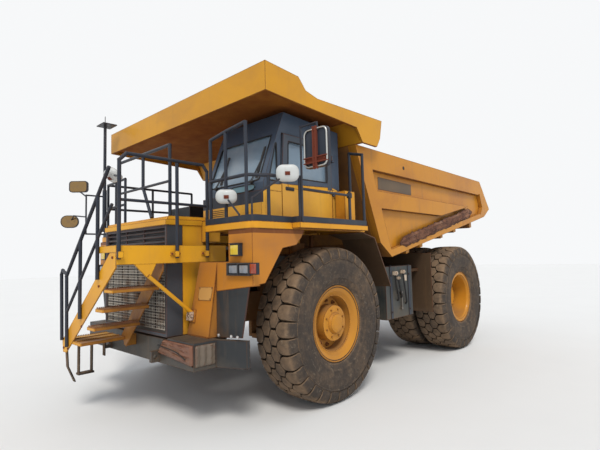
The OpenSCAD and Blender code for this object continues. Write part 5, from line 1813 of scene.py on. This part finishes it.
@dataclass
class TankDress:
    """Straps, blank labels, valves, hoses, the filler and the sight glass of the left tank.

    Outlines are (Y from the axle, Z). Valves are (Y, Z, size) and hoses (Y, Z, drop).
    """

    side: float = 1.8605
    top: float = 1.8205
    strap_out: float = 1.872
    straps: Tuple[float, ...] = (1.76, 2.40)
    strap_width: float = 0.07
    valves: Tuple[Point, ...] = ((1.86, 1.66, 0.05), (1.99, 1.58, 0.035), (2.14, 1.68, 0.045))
    hoses: Tuple[Point, ...] = ((1.90, 1.655, 0.42), (2.02, 1.575, 0.30), (2.18, 1.675, 0.52))
    filler: Pair = (1.45, 2.02)
    gauge: Point = (2.12, 1.06, 1.34)

    def build(self) -> None:
        """Every piece on the tank."""
        straps = Shape("tank_straps")
        for y in self.straps:
            rear = y + self.strap_width
            straps.block(spot(self.side, y, 0.905), spot(self.strap_out, rear, 1.815))
            straps.block(spot(0.62, y, self.top), spot(self.strap_out, rear, 1.830))
        for z in (1.02, 1.66):
            for y in self.straps:
                straps.nut(spot(self.strap_out, y + self.strap_width / 2, z), LEFTWARD, 0.018, 0.014)
        straps.made(SLATE, "dark_paint", bevel=0.002)
        label = Shape("tank_label")
        for low, high in (((2.26, 1.54), (2.36, 1.65)), ((2.00, 1.30), (2.05, 1.40))):
            label.block(spot(self.side, *low), spot(self.side + 0.002, *high))
        label.made(PALE_STEEL, "paint")
        valves = Shape("tank_valves")
        for y, z, size in self.valves:
            face = self.side + size * 1.3
            valves.block(spot(self.side, y, z), spot(face, y + size * 1.6, z + size * 1.4))
            valves.nut(spot(face, y + size * 0.8, z + size * 0.7), LEFTWARD, size * 0.45, 0.02)
        valves.made(PALE_STEEL, "steel", bevel=0.003)
        hoses = Shape("tank_hoses")
        for y, z, drop in self.hoses:
            hoses.tube([spot(1.895, y, z), spot(1.905, y, z - 0.12), spot(1.900, y + 0.09, z - drop),
                        spot(1.8615, y + 0.10, z - drop - 0.03)], 0.016, 0.05, 10)
        hoses.made(SEAL, "rubber")
        self.build_filler()

    def build_filler(self) -> None:
        """The filler on the tank's top and the sight glass on its side."""
        filler = Shape("tank_filler")
        neck = spot(*self.filler, 1.872)
        filler.rod(spot(*self.filler, self.top), neck, 0.055, 24)
        filler.nut(neck, UPWARD, 0.068, 0.026, 12)
        y, low, high = self.gauge
        for z in (low, high):
            filler.rod(spot(self.side, y, z), spot(1.892, y, z), 0.024, 16)
        filler.rod(spot(1.884, y, low), spot(1.884, y, high), 0.012, 12)
        filler.made(STEEL, "steel", bevel=0.002)


@dataclass
class Studio:
    """Floor, backdrop, lamps and the camera at the photograph's place."""

    camera_place: Point = (5.769, -6.716, 2.048)
    yaw: float = 42.555
    pitch: float = 4.187
    roll: float = -1.509
    lens: float = 25.316
    sensor: float = 36.0
    floor_half: float = 60.0
    sky_seen: Colour = (0.93, 0.94, 0.95)
    sky_light: Colour = (0.86, 0.90, 0.96)
    sky_strength: float = 0.75
    sun_strength: float = 2.0
    sun_width: float = 18
    sun_colour: Colour = (1.0, 0.97, 0.92)
    sun_turn: Point = (38, 14, 30)

    def build(self) -> None:
        """The camera, the floor and the light."""
        self.build_camera()
        self.build_floor()
        self.build_light()

    def build_camera(self) -> None:
        """The camera, which looks along the photograph's line of sight."""
        yaw, pitch, roll = (math.radians(angle) for angle in (self.yaw, self.pitch, self.roll))
        ahead = Vector((-math.sin(yaw) * math.cos(pitch), math.cos(yaw) * math.cos(pitch), math.sin(pitch)))
        level = Vector((math.cos(yaw), math.sin(yaw), 0))
        above = level.cross(ahead)
        right = level * math.cos(roll) + above * math.sin(roll)
        up = above * math.cos(roll) - level * math.sin(roll)
        data = bpy.data.cameras.new("photo_camera")
        data.lens = self.lens
        data.sensor_width = self.sensor
        data.sensor_fit = "HORIZONTAL"
        camera = bpy.data.objects.new("photo_camera", data)
        turn = Matrix((right, up, -ahead)).transposed().to_4x4()
        camera.matrix_world = Matrix.Translation(Vector(self.camera_place)) @ turn
        bpy.context.scene.collection.objects.link(camera)
        bpy.context.scene.camera = camera

    def build_floor(self) -> None:
        """A plain pale floor."""
        mesh = bpy.data.meshes.new("studio_floor")
        half = self.floor_half
        mesh.from_pydata([(x, y, 0) for x, y in rectangle(half, half)], [], [(0, 1, 2, 3)])
        floor = bpy.data.objects.new("studio_floor", mesh)
        mesh.materials.append(PlainGround("studio_floor").material())
        bpy.context.scene.collection.objects.link(floor)

    def build_light(self) -> None:
        """An even sky and one broad soft sun."""
        scene = bpy.context.scene
        scene.view_settings.view_transform = "Standard"
        world = scene.world or bpy.data.worlds.new("sky")
        scene.world = world
        world.use_nodes = True
        sky = Nodes(world.node_tree)
        sky.tree.nodes.clear()
        seen = sky.node("ShaderNodeBackground", {}, {"Color": self.sky_seen})
        lit = sky.node("ShaderNodeBackground", {}, {"Color": self.sky_light, "Strength": self.sky_strength})
        path = sky.node("ShaderNodeLightPath", {}, {})
        camera, glossy, transmitted = (sky.sock(path, f"Is {ray} Ray") for ray in (
            "Camera", "Glossy", "Transmission"))
        shown = camera.math("MAXIMUM", camera.math("MAXIMUM", camera, glossy), transmitted)
        mixed = sky.node("ShaderNodeMixShader", {}, {0: shown, 1: sky.sock(lit), 2: sky.sock(seen)})
        sky.node("ShaderNodeOutputWorld", {}, {0: sky.sock(mixed)})
        data = bpy.data.lights.new("soft_sun", "SUN")
        data.energy = self.sun_strength
        data.angle = math.radians(self.sun_width)
        data.color = self.sun_colour
        sun = bpy.data.objects.new("soft_sun", data)
        sun.rotation_euler = [math.radians(angle) for angle in self.sun_turn]
        scene.collection.objects.link(sun)


def dress_solids() -> None:
    """Gives every CAD solid its finish."""
    left = set(frame["nodes"])
    for finish, names in SOLID_FINISHES.items():
        for name in names:
            solid = frame["nodes"][name]
            solid.data.materials.clear()
            solid.data.materials.append(finish.material())
            left.discard(name)
            log.info("%s takes %s", name, finish.name)
    if left:
        raise ValueError(f"no finish for {sorted(left)}")


def corners(box: Tuple[Vector, Vector]) -> List[List[float]]:
    """A box as plain lists of numbers."""
    return [list(box[0]), list(box[1])]


def main() -> None:
    """Dresses the truck, builds its fine pieces and sets the studio."""
    logging.basicConfig(level=logging.INFO, format="%(name)s: %(message)s")
    random.seed(17)
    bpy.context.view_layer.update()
    Studio().build()
    dress_solids()
    for dress in (Wheels(), NoseDress(), LampDress(), StairDress(), MirrorDress(), DeckDress(), FrontDress(),
                  CabDress(), BedDress(), TankDress()):
        dress.build()


if __name__ == "__main__":
    main()
